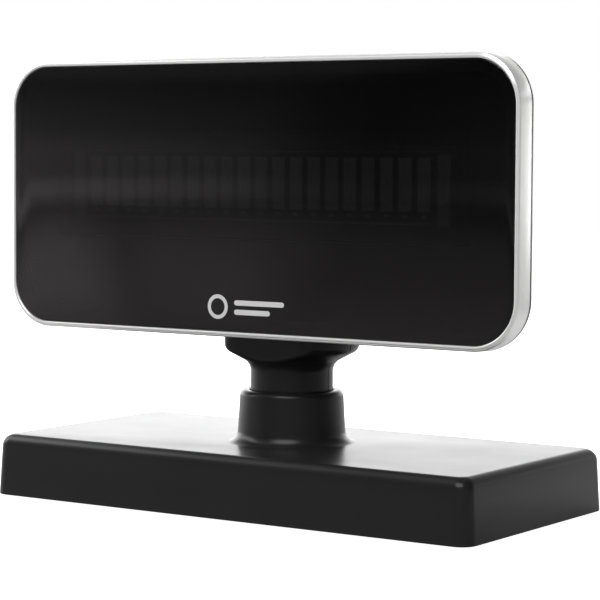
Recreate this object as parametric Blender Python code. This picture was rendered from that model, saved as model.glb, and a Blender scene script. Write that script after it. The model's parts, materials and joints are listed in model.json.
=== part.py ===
"""Customer pole display: a head with a 20 x 2 character tube, a short neck and a weighted base.

Metres, +Z up, the customer's side faces -Y. The origin is the middle of the base, on the counter.
The neck turns about a vertical axis in the base's socket. The head tilts back about two pins that lie
on the seam between the neck's two shells. Each moving body hangs on an empty on its joint's axis.
"""

import math

import bmesh
import bpy
from mathutils import Matrix, Vector

MM = 0.001

# ---- driving dimensions --------------------------------------------------------------------------
GAP = 0.2 * MM  # between pieces that touch
FOOT_PROUD = 0.5 * MM  # the feet hold the base's skirt this far off the counter

BASE_WIDTH = 209.0 * MM
BASE_DEPTH = 102 * MM
BASE_TOP = FOOT_PROUD + 23.0 * MM
BASE_DRAFT = 1.2 * MM  # how far each side leans in from skirt to top
BASE_CORNER = 5.8 * MM
BASE_EDGE = 4.0 * MM  # rounding between the sides and the top
BASE_WALL = 2.5 * MM

SWIVEL_Y = -1.5 * MM  # the socket stands a little in front of the middle
COLLAR_TOP = 43.2 * MM
COLLAR_TOP_RADIUS = 19.4 * MM
COLLAR_FOOT_RADIUS = 20.15 * MM
COLLAR_TOP_ROUND = 2.2 * MM
COLLAR_FOOT_ROUND = 4.5 * MM
SOCKET_RADIUS = 15.8 * MM
WEB_LOW = BASE_TOP - 2.5 * MM  # the web in the socket that carries the neck
WEB_HIGH = WEB_LOW + 3.0 * MM
WEB_HOLE = 12.35 * MM

NECK_RADIUS = 15.4 * MM
NECK_WALL = 2.5 * MM
NECK_STUB_RADIUS = 12.0 * MM
NECK_STUB_LOW = 19.2 * MM
CUP_RADIUS = 25.2 * MM
FLARE_LOW = 50.1 * MM  # where the neck starts to widen
FACET_Y = -19.0 * MM  # flat front of the cup, just behind the head
LEAD_HOLE = 5.0 * MM

TILT_Y = 0.0  # the tilt pins lie on the seam between the neck's two shells
TILT_Z = 78.0 * MM
BARREL_RADIUS = TILT_Y - FACET_Y
POCKET_CLEARANCE = 0.6 * MM
POCKET_HALF_WIDTH = CUP_RADIUS + 1.0 * MM
POCKET_WALL = 2.1 * MM

WINDOW_HALF_WIDTH = 109.7 * MM
WINDOW_HALF_HEIGHT = 49.0 * MM
WINDOW_CORNER = 15.9 * MM
HEAD_Z = 115.2 * MM  # middle of the window
LENS_FRONT = -31.5 * MM
LENS_BACK = -29.0 * MM
BEZEL_FRONT = -31.85 * MM
BEZEL_BACK = -23.5 * MM
BEZEL_LIP = 1.2 * MM  # flat face of the bezel beside the window
BEZEL_ROUND = 0.9 * MM
BEZEL_FLARE = 0.3 * MM
REAR_RIM = BEZEL_BACK + GAP
REAR_BACK = 8.0 * MM
REAR_WALL = 2.0 * MM
FRAME_FRONT = -28.1 * MM
FRAME_BACK = -26.3 * MM
FRAME_SKIRT_BACK = -23.5 * MM

TUBE_Z = 119.6 * MM
TUBE_HALF_WIDTH = 90.0 * MM
TUBE_HALF_HEIGHT = 19.6 * MM
TUBE_FRONT = -28.6 * MM
BOARD_FRONT = -16.4 * MM
BOARD_BACK = -14.8 * MM
BOARD_HALF_WIDTH = 98.0 * MM
BOARD_LOW = 100.0 * MM
BOARD_HIGH = 142.5 * MM

CIRCLE_STEPS = 32
CORNER_STEPS = 5
SIDES = ((-1, "left"), (1, "right"))
PILOT_RADIUS = 1.4 * MM  # holes that the screws cut their own thread in

# ---- colours: base colour, roughness, metallic ---------------------------------------------------
BLACK_PLASTIC = ("black_plastic", (0.018, 0.018, 0.019), 0.38, 0.0)
SILVER_PAINT = ("silver_paint", (0.72, 0.72, 0.73), 0.3, 0.85)
SMOKED_ACRYLIC = ("smoked_acrylic", (0.012, 0.012, 0.014), 0.08, 0.0)
STEEL = ("zinc_steel", (0.62, 0.62, 0.6), 0.35, 1.0)
BLACK_STEEL = ("black_steel", (0.04, 0.04, 0.04), 0.45, 0.8)
CAST_IRON = ("cast_iron", (0.12, 0.12, 0.12), 0.7, 0.6)
RUBBER = ("rubber", (0.03, 0.03, 0.03), 0.85, 0.0)
ACETAL = ("acetal", (0.85, 0.85, 0.82), 0.45, 0.0)
TUBE_GLASS = ("tube_glass", (0.35, 0.4, 0.4), 0.05, 0.0)
PHOSPHOR = ("phosphor", (0.24, 0.27, 0.26), 0.6, 0.0)
CIRCUIT_BOARD = ("circuit_board", (0.02, 0.16, 0.07), 0.5, 0.0)
CHIP = ("chip_epoxy", (0.03, 0.03, 0.035), 0.55, 0.0)
CAPACITOR = ("capacitor_sleeve", (0.05, 0.07, 0.16), 0.4, 0.0)
FOAM = ("foam", (0.05, 0.05, 0.05), 0.95, 0.0)
CONNECTOR = ("connector_nylon", (0.78, 0.76, 0.7), 0.5, 0.0)
CABLE = ("cable_pvc", (0.05, 0.05, 0.055), 0.5, 0.0)


# ---- scene and materials -------------------------------------------------------------------------
def clear_scene():
    for obj in list(bpy.data.objects):
        bpy.data.objects.remove(obj)


def material(finish):
    name, colour, roughness, metallic = finish
    found = bpy.data.materials.get(name)
    if found:
        return found
    made = bpy.data.materials.new(name)
    made.use_nodes = True
    shader = made.node_tree.nodes["Principled BSDF"]
    shader.inputs["Base Color"].default_value = (*colour, 1.0)
    shader.inputs["Roughness"].default_value = roughness
    shader.inputs["Metallic"].default_value = metallic
    return made


# ---- modelling tools -----------------------------------------------------------------------------
def rounded_outline(half_a, half_b, radius, steps=CORNER_STEPS):
    """Points of a rounded rectangle, counter-clockwise, as (a, b) pairs about its middle."""
    points = []
    for quarter, (sign_a, sign_b) in enumerate(((1, 1), (-1, 1), (-1, -1), (1, -1))):
        for step in range(steps + 1):
            angle = math.pi / 2 * (quarter + step / steps)
            points.append(
                (
                    sign_a * (half_a - radius) + radius * math.cos(angle),
                    sign_b * (half_b - radius) + radius * math.sin(angle),
                )
            )
    return points


def circle_outline(radius, steps=CIRCLE_STEPS):
    turns = [2 * math.pi * step / steps for step in range(steps)]
    return [(radius * math.cos(turn), radius * math.sin(turn)) for turn in turns]


def on_axis(outline, axis, position, centre):
    """An (a, b) outline as 3D points in the plane across an axis, at a position along it."""
    if axis == "X":
        return [Vector((position, centre[0] + a, centre[1] + b)) for a, b in outline]
    if axis == "Y":
        return [Vector((centre[0] + a, position, centre[1] + b)) for a, b in outline]
    return [Vector((centre[0] + a, centre[1] + b, position)) for a, b in outline]


def loft(name, loops, finish, ring=False):
    """A solid through loops of equally many points, with both ends capped, or with the last loop
    joined to the first in a ring."""
    mesh = bmesh.new()
    rows = [[mesh.verts.new(point) for point in loop] for loop in loops]
    pairs = list(zip(rows, rows[1:]))
    if ring:
        pairs.append((rows[-1], rows[0]))
    else:
        mesh.faces.new(rows[0])
        mesh.faces.new(rows[-1])
    for low, high in pairs:
        for i in range(len(low)):
            j = (i + 1) % len(low)
            mesh.faces.new((low[i], low[j], high[j], high[i]))
    bmesh.ops.recalc_face_normals(mesh, faces=mesh.faces)
    return finish_object(name, mesh, finish)


def finish_object(name, mesh, finish):
    data = bpy.data.meshes.new(name)
    mesh.to_mesh(data)
    mesh.free()
    data.shade_smooth()
    data.set_sharp_from_angle(angle=math.radians(35))
    obj = bpy.data.objects.new(name, data)
    bpy.context.scene.collection.objects.link(obj)
    data.materials.append(material(finish))
    return obj


def turned(name, profile, finish, centre=(0.0, SWIVEL_Y), axis="Z", steps=CIRCLE_STEPS, ring=False):
    """A body of revolution. The profile is (radius, position along the axis) pairs, and goes all
    the way round for a ring."""
    loops = [on_axis(circle_outline(r, steps), axis, s, centre) for r, s in profile]
    return loft(name, loops, finish, ring)


def box(name, low, high, finish=BLACK_PLASTIC):
    corners = [(low[0], low[1]), (high[0], low[1]), (high[0], high[1]), (low[0], high[1])]
    return loft(name, [[Vector((x, y, z)) for x, y in corners] for z in (low[2], high[2])], finish)


def extruded(name, outline, axis, start, end, finish=BLACK_PLASTIC):
    """An outline in world coordinates of the plane across the axis, extruded along that axis."""
    return loft(name, [on_axis(outline, axis, s, (0.0, 0.0)) for s in (start, end)], finish)


def arc(centre_a, centre_b, radius, start_deg, end_deg, steps):
    """Points on an arc, both ends included."""
    angles = [math.radians(start_deg + (end_deg - start_deg) * i / steps) for i in range(steps + 1)]
    return [(centre_a + radius * math.cos(t), centre_b + radius * math.sin(t)) for t in angles]


def helper(obj):
    obj.hide_render = True
    obj.display_type = "WIRE"
    return obj


def boolean(target, other, operation):
    modifier = target.modifiers.new(operation.lower(), "BOOLEAN")
    modifier.operation = operation
    modifier.solver = "EXACT"
    modifier.object = helper(other)
    return target


def cut(target, *cutters):
    for cutter in cutters:
        boolean(target, cutter, "DIFFERENCE")
    return target


def join(target, *others):
    for other in others:
        boolean(target, other, "UNION")
    return target


def keep(target, *others):
    for other in others:
        boolean(target, other, "INTERSECT")
    return target


def screw(name, centre, axis, seat, tip, head_radius, shank_radius, finish=STEEL):
    """A pan-head screw along an axis, with a cross recess. The head's underside is at seat."""
    away = 1 if seat > tip else -1
    head_height = 0.7 * head_radius
    top = seat + away * head_height
    profile = [
        (shank_radius * 0.5, tip),
        (shank_radius, tip + away * shank_radius),
        (shank_radius, seat),
        (head_radius, seat),
        (head_radius, seat + away * head_height * 0.5),
        (head_radius * 0.7, top),
    ]
    made = turned(name, profile, finish, centre, axis, steps=12)
    arm, slot, depth = head_radius * 0.55, head_radius * 0.16, head_height * 0.6
    quarter = [(arm, slot), (slot, slot), (slot, arm)]
    cross = [*quarter, *[(-b, a) for a, b in quarter], *[(-a, -b) for a, b in quarter]]
    cross += [(b, -a) for a, b in quarter]
    low, high = sorted((top - away * depth, top + away * MM))
    loops = [on_axis(cross, axis, s, centre) for s in (low, high)]
    return cut(made, loft(f"{name}_recess", loops, finish))


# ---- base ----------------------------------------------------------------------------------------
BASE_BOSSES = [(x * 92 * MM, y * 40 * MM) for x in (-1, 1) for y in (-1, 1)]
BASE_BOSS_RADIUS = 3.6 * MM
BALLAST_MIDDLE = 56 * MM
BALLAST_TOP = 16.0 * MM
PLATE_LOW = FOOT_PROUD + 0.8 * MM
PLATE_HIGH = PLATE_LOW + 1.6 * MM
JACK_HALF_WIDTH = 8.0 * MM
JACK_LOW = 8.2 * MM
JACK_HIGH = 21.0 * MM - 0.9 * MM
BOARD_TOP = 8.0 * MM


def base_section(z, inset):
    """The base's outline at a height, drawn in by its draft there and by an inset."""
    draft = BASE_DRAFT * (z - FOOT_PROUD) / (BASE_TOP - FOOT_PROUD)
    shrink = draft + inset
    outline = rounded_outline(
        BASE_WIDTH / 2 - shrink,
        BASE_DEPTH / 2 - shrink,
        max(BASE_CORNER - 0.5 * shrink, 1.5 * MM),
    )
    return on_axis(outline, "Z", z, (0.0, 0.0))


def base_cover():
    edge_steps = 4
    loops = []
    for step in range(edge_steps + 1):
        angle = math.pi / 2 * (1 - step / edge_steps)
        loops.append(
            base_section(
                BASE_TOP - BASE_EDGE * (1 - math.sin(angle)),
                BASE_EDGE * (1 - math.cos(angle)),
            )
        )
    loops.append(base_section(FOOT_PROUD, 0.0))
    loops.append(base_section(FOOT_PROUD, BASE_WALL))
    loops.append(base_section(BASE_TOP - BASE_WALL, BASE_WALL))
    cover = loft("base_cover", loops, BLACK_PLASTIC)
    join(cover, collar())
    for number, place in enumerate(BASE_BOSSES):
        join(cover, base_boss(f"base_boss_{number}", place, PLATE_HIGH + GAP))
    for side, name in SIDES:
        join(cover, base_boss(f"ballast_boss_{name}", (side * BALLAST_MIDDLE, 0.0), BALLAST_TOP + GAP))
    stop_rib = box(
        "stop_rib",
        (-1.5 * MM, SWIVEL_Y + 18.2 * MM, 16.8 * MM),
        (1.5 * MM, SWIVEL_Y + 21.5 * MM, BASE_TOP - 1.0 * MM),
    )
    join(cover, stop_rib)
    socket = [
        (WEB_HOLE, WEB_LOW - 2 * MM),
        (WEB_HOLE, WEB_HIGH),
        (SOCKET_RADIUS, WEB_HIGH),
        (SOCKET_RADIUS, COLLAR_TOP - 0.5 * MM),
        (SOCKET_RADIUS + 0.5 * MM, COLLAR_TOP),
        (SOCKET_RADIUS + 0.5 * MM, COLLAR_TOP + 1 * MM),
    ]
    cut(cover, turned("socket_bore", socket, BLACK_PLASTIC))
    for number, place in enumerate(BASE_BOSSES):
        cut(cover, pilot_hole(f"base_pilot_{number}", place, PLATE_LOW, 14 * MM))
    for side, name in SIDES:
        place = (side * BALLAST_MIDDLE, 0.0)
        cut(cover, pilot_hole(f"ballast_pilot_{name}", place, BALLAST_TOP - MM, BASE_TOP - 3 * MM))
    jack_window = box(
        "jack_window",
        (-JACK_HALF_WIDTH - 0.3 * MM, BASE_DEPTH / 2 - 7 * MM, JACK_LOW - 0.3 * MM),
        (JACK_HALF_WIDTH + 0.3 * MM, BASE_DEPTH / 2 + 2 * MM, JACK_HIGH + 0.3 * MM),
    )
    cut(cover, jack_window)
    return cover


def base_boss(name, place, low):
    profile = [(BASE_BOSS_RADIUS, low), (BASE_BOSS_RADIUS, BASE_TOP - MM)]
    return turned(name, profile, BLACK_PLASTIC, place, steps=12)


def pilot_hole(name, place, low, high):
    return turned(name, [(PILOT_RADIUS, low), (PILOT_RADIUS, high)], BLACK_PLASTIC, place, steps=8)


def collar():
    """The socket's outside: a tapered sleeve with a rounded top edge, blended into the base."""
    top_arc = arc(
        COLLAR_TOP_RADIUS - COLLAR_TOP_ROUND,
        COLLAR_TOP - COLLAR_TOP_ROUND,
        COLLAR_TOP_ROUND,
        90,
        0,
        5,
    )
    foot_arc = arc(
        COLLAR_FOOT_RADIUS + COLLAR_FOOT_ROUND,
        BASE_TOP + COLLAR_FOOT_ROUND - 0.05 * MM,
        COLLAR_FOOT_ROUND,
        180,
        270,
        5,
    )
    profile = [
        *top_arc,
        *foot_arc,
        (COLLAR_FOOT_RADIUS + COLLAR_FOOT_ROUND, WEB_LOW + 0.5 * MM),
        (COLLAR_FOOT_RADIUS - 1.5 * MM, WEB_LOW),
    ]
    return turned("collar", profile, BLACK_PLASTIC)


def base_plate():
    outline = rounded_outline(
        BASE_WIDTH / 2 - BASE_WALL - 0.6 * MM,
        BASE_DEPTH / 2 - BASE_WALL - 0.6 * MM,
        4 * MM,
    )
    loops = [on_axis(outline, "Z", z, (0.0, 0.0)) for z in (PLATE_LOW, PLATE_HIGH)]
    plate = loft("base_plate", loops, BLACK_STEEL)
    for number, place in enumerate(BASE_BOSSES):
        profile = [(1.7 * MM, PLATE_LOW - MM), (1.7 * MM, PLATE_HIGH + MM)]
        cut(plate, turned(f"plate_hole_{number}", profile, STEEL, place, steps=12))
    return plate


def feet():
    names = ("foot_rear_left", "foot_front_left", "foot_rear_right", "foot_front_right")
    places = [(x * 78 * MM, y * 40 * MM) for x in (-1, 1) for y in (1, -1)]
    profile = [
        (5.4 * MM, 0.0),
        (6.0 * MM, 0.5 * MM),
        (6.0 * MM, PLATE_LOW - GAP),
    ]
    for name, place in zip(names, places):
        turned(name, profile, RUBBER, place, steps=20)


def ballast(side, name):
    half_x, half_y = 27 * MM, 40 * MM
    outline = rounded_outline(half_x, half_y, 4 * MM, steps=3)
    centre = (side * BALLAST_MIDDLE, 0.0)
    loops = [on_axis(outline, "Z", z, centre) for z in (PLATE_HIGH + 0.6 * MM, BALLAST_TOP)]
    block = loft(f"ballast_{name}", loops, CAST_IRON)
    hole = [
        (3.4 * MM, PLATE_HIGH),
        (3.4 * MM, PLATE_HIGH + 4.2 * MM),
        (1.8 * MM, PLATE_HIGH + 4.2 * MM),
        (1.8 * MM, BALLAST_TOP + MM),
    ]
    cut(block, turned(f"ballast_hole_{name}", hole, STEEL, centre, steps=16))
    seat = PLATE_HIGH + 4.2 * MM - GAP
    screw(f"ballast_screw_{name}", centre, "Z", seat, 19.5 * MM, 3.0 * MM, 1.3 * MM)


def base_screws():
    for number, place in enumerate(BASE_BOSSES, start=1):
        screw(f"base_screw_{number}", place, "Z", PLATE_LOW - 0.02 * MM, 12.5 * MM, 2.4 * MM, 1.3 * MM)


def interface_board():
    low, high = (-14 * MM, -12 * MM), (14 * MM, 46.5 * MM)
    box("interface_board", (*low, BOARD_TOP - 1.6 * MM), (*high, BOARD_TOP), CIRCUIT_BOARD)
    back = BASE_DEPTH / 2 - 1.2 * MM
    jack = box(
        "data_jack",
        (-JACK_HALF_WIDTH, back - 15.5 * MM, JACK_LOW),
        (JACK_HALF_WIDTH, back, JACK_HIGH),
        CHIP,
    )
    mouth = (JACK_LOW + 2.0 * MM, JACK_HIGH - 2.2 * MM)
    cut(
        jack,
        box("jack_mouth", (-6 * MM, back - 12.5 * MM, mouth[0]), (6 * MM, back + MM, mouth[1])),
        box("jack_latch", (-3 * MM, back - 12.5 * MM, mouth[0] - MM), (3 * MM, back + MM, mouth[0] + MM)),
    )


def thrust_washer():
    inner, outer = WEB_HOLE + 0.1 * MM, NECK_RADIUS - 0.1 * MM
    low, high = WEB_HIGH + 0.15 * MM, WEB_HIGH + 1.0 * MM
    turned(
        "thrust_washer",
        [(inner, low), (outer, low), (outer, high), (inner, high)],
        ACETAL,
        ring=True,
    )


# ---- neck ----------------------------------------------------------------------------------------
SPIGOT_LOW = WEB_HIGH + 1.2 * MM
NECK_SCREW_X = 13.0 * MM
NECK_SCREW_Z = 67.0 * MM
NECK_TOP = TILT_Z + BARREL_RADIUS + 5 * MM
BUSH_RADIUS = 5.0 * MM
PIN_RADIUS = 3.0 * MM
NUT_RADIUS = 4.4 * MM


def flare_profile(inset):
    """The flare between the neck and the cup as (radius, height) pairs: a hollow bend, a shallow
    cone and a rounded rim."""
    hollow, rim, slope = 5.0 * MM, 3.4 * MM, math.radians(28)
    bend = hollow * math.tan((math.pi / 2 - slope) / 2)
    low = FLARE_LOW + bend
    steps = 3
    turns = [(math.pi / 2 - slope) * i / steps for i in range(steps + 1)]
    hollow_arc = [
        (NECK_RADIUS + hollow * (1 - math.cos(t)), FLARE_LOW + hollow * math.sin(t)) for t in turns
    ]
    cone_height = (CUP_RADIUS - NECK_RADIUS) * math.tan(slope)
    corner = low + cone_height
    back = rim * math.tan((math.pi / 2 - slope) / 2)
    rim_arc = [
        (CUP_RADIUS - rim * (1 - math.cos(t)), corner + back - rim * math.sin(t))
        for t in reversed(turns)
    ]
    return [(r - inset, z + 0.6 * inset) for r, z in hollow_arc + rim_arc]


def neck_slab(name, inset, low):
    """The neck seen from the side: flat in front, a barrel about the tilt pins on top, a leaning back."""
    radius = BARREL_RADIUS - inset
    outline = [
        (TILT_Y - radius, low),
        *arc(TILT_Y, TILT_Z, radius, 180, 0, 20),
        (26.5 * MM - inset, 61 * MM),
        (26.5 * MM - inset, low),
    ]
    return extruded(name, outline, "X", -30 * MM, 30 * MM)


def neck_shell(name, front):
    """One of the two shells, which meet on the plane of the tilt pins."""
    outside = [
        (NECK_STUB_RADIUS, NECK_STUB_LOW),
        (NECK_STUB_RADIUS, SPIGOT_LOW),
        (NECK_RADIUS, SPIGOT_LOW),
        *flare_profile(0.0),
        (CUP_RADIUS, NECK_TOP),
    ]
    inside = [
        (LEAD_HOLE, NECK_STUB_LOW - MM),
        (LEAD_HOLE, 30 * MM),
        (NECK_RADIUS - NECK_WALL, 33 * MM),
        *flare_profile(NECK_WALL),
        (CUP_RADIUS - NECK_WALL, NECK_TOP),
    ]
    shell = turned(name, outside, BLACK_PLASTIC)
    keep(shell, neck_slab(f"{name}_slab", 0.0, NECK_STUB_LOW - 2 * MM))
    hollow = turned(f"{name}_hollow", inside, BLACK_PLASTIC)
    keep(hollow, neck_slab(f"{name}_hollow_slab", NECK_WALL, NECK_STUB_LOW - 3 * MM))
    cut(shell, hollow)
    for side in (-1, 1):
        ring = [(8.0 * MM, side * 18.6 * MM), (8.0 * MM, side * 23.6 * MM)]
        join(shell, turned(f"{name}_seat_{side}", ring, BLACK_PLASTIC, (TILT_Y, TILT_Z), "X", 24))
        boss_end = -17.5 * MM if front else 17.6 * MM
        boss = [(4.4 * MM, 0.0), (4.4 * MM, boss_end)]
        place = (side * NECK_SCREW_X, NECK_SCREW_Z)
        join(shell, turned(f"{name}_boss_{side}", boss, BLACK_PLASTIC, place, "Y", 16))
    for side in (-1, 1):
        seat = [(BUSH_RADIUS + 0.05 * MM, side * 17 * MM), (BUSH_RADIUS + 0.05 * MM, side * 27 * MM)]
        cut(shell, turned(f"{name}_bush_bore_{side}", seat, STEEL, (TILT_Y, TILT_Z), "X", 24))
        place = (side * NECK_SCREW_X, NECK_SCREW_Z)
        pilot = [(1.45 * MM, -13 * MM), (1.45 * MM, 13 * MM)]
        cut(shell, turned(f"{name}_pilot_{side}", pilot, STEEL, place, "Y", 8))
        if not front:
            counterbore = [(3.2 * MM, 12 * MM), (3.2 * MM, 28 * MM)]
            cut(shell, turned(f"{name}_counterbore_{side}", counterbore, STEEL, place, "Y", 16))
    lead_slot = box(
        f"{name}_lead_slot",
        (-3.5 * MM, -6.5 * MM, TILT_Z + 12 * MM),
        (3.5 * MM, 13.5 * MM, NECK_TOP + MM),
    )
    cut(shell, lead_slot)
    for number, (x, y) in enumerate(disc_screw_places()):
        cut(shell, pilot_hole(f"{name}_disc_pilot_{number}", (x, y), NECK_STUB_LOW - MM, 27 * MM))
    low_y, high_y = (-0.5 * GAP, 40 * MM) if front else (-40 * MM, 0.5 * GAP)
    other_half = box(
        f"{name}_other_half",
        (-40 * MM, TILT_Y + low_y, 0.0),
        (40 * MM, TILT_Y + high_y, NECK_TOP + 10 * MM),
    )
    return cut(shell, other_half)


def disc_screw_places():
    radius = 8.6 * MM
    turns = [math.radians(90 + 120 * step) for step in range(3)]
    return [(radius * math.cos(t), SWIVEL_Y + radius * math.sin(t)) for t in turns]


def swivel_retainer():
    """What holds the neck down in the socket: a spring washer and a disc under the web. The tab on
    the disc stops the swivel at the base's rib."""
    high = NECK_STUB_LOW - 0.3 * MM
    low = high - 2.1 * MM
    disc = turned("swivel_disc", [(17.5 * MM, low), (17.5 * MM, high)], BLACK_STEEL)
    tab = box(
        "disc_tab",
        (-3 * MM, SWIVEL_Y - 20.3 * MM, low),
        (3 * MM, SWIVEL_Y - 16 * MM, high),
    )
    join(disc, tab)
    cut(disc, turned("disc_hole", [(4.6 * MM, low - MM), (4.6 * MM, high + MM)], STEEL, steps=20))
    for number, place in enumerate(disc_screw_places(), start=1):
        profile = [(1.6 * MM, low - MM), (1.6 * MM, high + MM)]
        cut(disc, turned(f"disc_screw_hole_{number}", profile, STEEL, place, steps=12))
        screw(f"disc_screw_{number}", place, "Z", low - 0.02 * MM, 26 * MM, 2.3 * MM, 1.3 * MM)
    wave_washer(high + 0.15 * MM, WEB_LOW - 0.15 * MM)


def wave_washer(low, high):
    """A ring of spring steel bent into three waves between two heights."""
    thickness = 0.4 * MM
    inner, outer, steps = 12.4 * MM, 16.4 * MM, 36
    middle, swing = (low + high - thickness) / 2, (high - low - thickness) / 2
    loops = []
    for radius, lift in ((inner, 0.0), (outer, 0.0), (outer, thickness), (inner, thickness)):
        loop = []
        for step in range(steps):
            turn = 2 * math.pi * step / steps
            height = middle + swing * math.sin(3 * turn) + lift
            loop.append(Vector((radius * math.cos(turn), SWIVEL_Y + radius * math.sin(turn), height)))
        loops.append(loop)
    loft("wave_washer", loops, STEEL, ring=True)


def neck_screws():
    for side, name in SIDES:
        place = (side * NECK_SCREW_X, NECK_SCREW_Z)
        screw(f"neck_screw_{name}", place, "Y", 12.02 * MM, -11 * MM, 2.7 * MM, 1.35 * MM)


def tilt_bushes():
    """Two bushes, held between the neck's shells, that the tilt pins turn in."""
    for side, name in SIDES:
        inner, outer = side * 18.7 * MM, side * 24.6 * MM
        bore = PIN_RADIUS + 0.05 * MM
        section = [(bore, inner), (BUSH_RADIUS, inner), (BUSH_RADIUS, outer), (bore, outer)]
        turned(f"tilt_bush_{name}", section, ACETAL, (TILT_Y, TILT_Z), "X", 24, ring=True)


def signal_lead():
    """The lead from the base's board, up the swivel axis and over the tilt axis, to the head's board."""
    route = [
        (0.0, SWIVEL_Y, 14.4 * MM),
        (0.0, SWIVEL_Y, 20 * MM),
        (0.0, SWIVEL_Y, 40 * MM),
        (0.0, SWIVEL_Y, 60 * MM),
        (0.0, SWIVEL_Y, 80 * MM),
        (0.0, SWIVEL_Y, 95 * MM),
        (0.0, -1.7 * MM, 101 * MM),
        (0.0, -3.2 * MM, 105.5 * MM),
        (0.0, -5.4 * MM, 107.6 * MM),
        (0.0, -7.6 * MM, 108.0 * MM),
    ]
    curve = bpy.data.curves.new("signal_lead", "CURVE")
    curve.dimensions = "3D"
    curve.bevel_depth = 2.0 * MM
    curve.bevel_resolution = 2
    curve.use_fill_caps = True
    points = smooth_route(route, 4)
    spline = curve.splines.new("POLY")
    spline.points.add(len(points) - 1)
    for point, place in zip(spline.points, points):
        point.co = (*place, 1.0)
    lead = bpy.data.objects.new("signal_lead", curve)
    bpy.context.scene.collection.objects.link(lead)
    curve.materials.append(material(CABLE))


def lead_plug():
    """The plug that the signal lead ends in, on the base's board."""
    profile = [
        (4.0 * MM, BOARD_TOP + GAP),
        (4.2 * MM, BOARD_TOP + 4 * MM),
        (2.6 * MM, 13.2 * MM),
        (2.6 * MM, 14.2 * MM),
    ]
    turned("lead_plug", profile, CONNECTOR, steps=20)


def smooth_route(route, per_span):
    """Points on a Catmull-Rom curve through the route."""
    knots = [Vector(p) for p in route]
    knots = [2 * knots[0] - knots[1], *knots, 2 * knots[-1] - knots[-2]]
    points = []
    for a, b, c, d in zip(knots, knots[1:], knots[2:], knots[3:]):
        for step in range(per_span):
            t = step / per_span
            square = (2 * a - 5 * b + 4 * c - d) * t**2
            cube = (3 * b - a - 3 * c + d) * t**3
            points.append(0.5 * (2 * b + (c - a) * t + square + cube))
    return [*points, knots[-2]]


# ---- head ----------------------------------------------------------------------------------------
REAR_SCREWS = [(x * 68 * MM, HEAD_Z + z * 31 * MM) for x in (-1, 1) for z in (-1, 1)]
BOARD_SCREWS = [(x * 95 * MM, z * MM) for x in (-1, 1) for z in (106, 136)]
BRACKET_SCREWS = [(x * 36 * MM, TILT_Z) for x in (-1, 1)]
BRACKET_FRONT = -24.2 * MM
BRACKET_BACK = -22.2 * MM


def window_outline(offset, y, steps=CORNER_STEPS):
    """The window's outline, let out all round by an offset, as points at a depth y."""
    outline = rounded_outline(
        WINDOW_HALF_WIDTH + offset,
        WINDOW_HALF_HEIGHT + offset,
        WINDOW_CORNER + offset,
        steps,
    )
    return on_axis(outline, "Y", y, (0.0, HEAD_Z))


def front_lens():
    loops = [
        window_outline(-0.25 * MM, LENS_FRONT),
        window_outline(0.0, LENS_FRONT + 0.25 * MM),
        window_outline(0.0, LENS_BACK),
    ]
    loft("front_lens", loops, SMOKED_ACRYLIC)


def bezel():
    outer = BEZEL_LIP + BEZEL_ROUND
    section = [(0.2 * MM, BEZEL_BACK), (0.2 * MM, BEZEL_FRONT + 0.1 * MM), (0.3 * MM, BEZEL_FRONT)]
    for step in range(5):
        angle = math.pi / 2 * step / 4
        section.append(
            (
                BEZEL_LIP + BEZEL_ROUND * math.sin(angle),
                BEZEL_FRONT + BEZEL_ROUND * (1 - math.cos(angle)),
            )
        )
    section.append((outer + BEZEL_FLARE, BEZEL_BACK))
    loft("bezel", [window_outline(offset, y) for offset, y in section], SILVER_PAINT, ring=True)


def lens_gasket():
    front, back = LENS_BACK + GAP, FRAME_FRONT - GAP
    section = [(-0.6 * MM, front), (-0.6 * MM, back), (-5.0 * MM, back), (-5.0 * MM, front)]
    loft("lens_gasket", [window_outline(o, y, 4) for o, y in section], FOAM, ring=True)


def front_frame():
    """A tray behind the lens: a plate with a skirt, a window for the tube, and screw posts."""
    edge = -0.15 * MM
    loops = [
        window_outline(edge, FRAME_FRONT),
        window_outline(edge, FRAME_SKIRT_BACK),
        window_outline(edge - 1.6 * MM, FRAME_SKIRT_BACK),
        window_outline(edge - 1.6 * MM, FRAME_BACK),
    ]
    frame = loft("front_frame", loops, BLACK_PLASTIC)
    posts = [
        *[(place, 3.4 * MM, -12.4 * MM, 1.45 * MM, -21 * MM) for place in REAR_SCREWS],
        *[(place, 2.5 * MM, BOARD_FRONT - GAP, 1.15 * MM, -24 * MM) for place in BOARD_SCREWS],
        *[(place, 3.2 * MM, BRACKET_FRONT - GAP, 1.45 * MM, -27.6 * MM) for place in BRACKET_SCREWS],
    ]
    for number, (place, radius, end, _, _) in enumerate(posts):
        profile = [(radius, FRAME_BACK - 0.8 * MM), (radius, end)]
        join(frame, turned(f"frame_post_{number}", profile, BLACK_PLASTIC, place, "Y", 10))
    for number, (place, _, end, hole, bottom) in enumerate(posts):
        profile = [(hole, bottom), (hole, end + MM)]
        cut(frame, turned(f"frame_hole_{number}", profile, BLACK_PLASTIC, place, "Y", 8))
    clearance = 0.5 * MM
    tube_window = box(
        "tube_window",
        (-TUBE_HALF_WIDTH - clearance, FRAME_FRONT - MM, TUBE_Z - TUBE_HALF_HEIGHT - clearance),
        (TUBE_HALF_WIDTH + clearance, FRAME_BACK + MM, TUBE_Z + TUBE_HALF_HEIGHT + clearance),
    )
    return cut(frame, tube_window)


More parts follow.
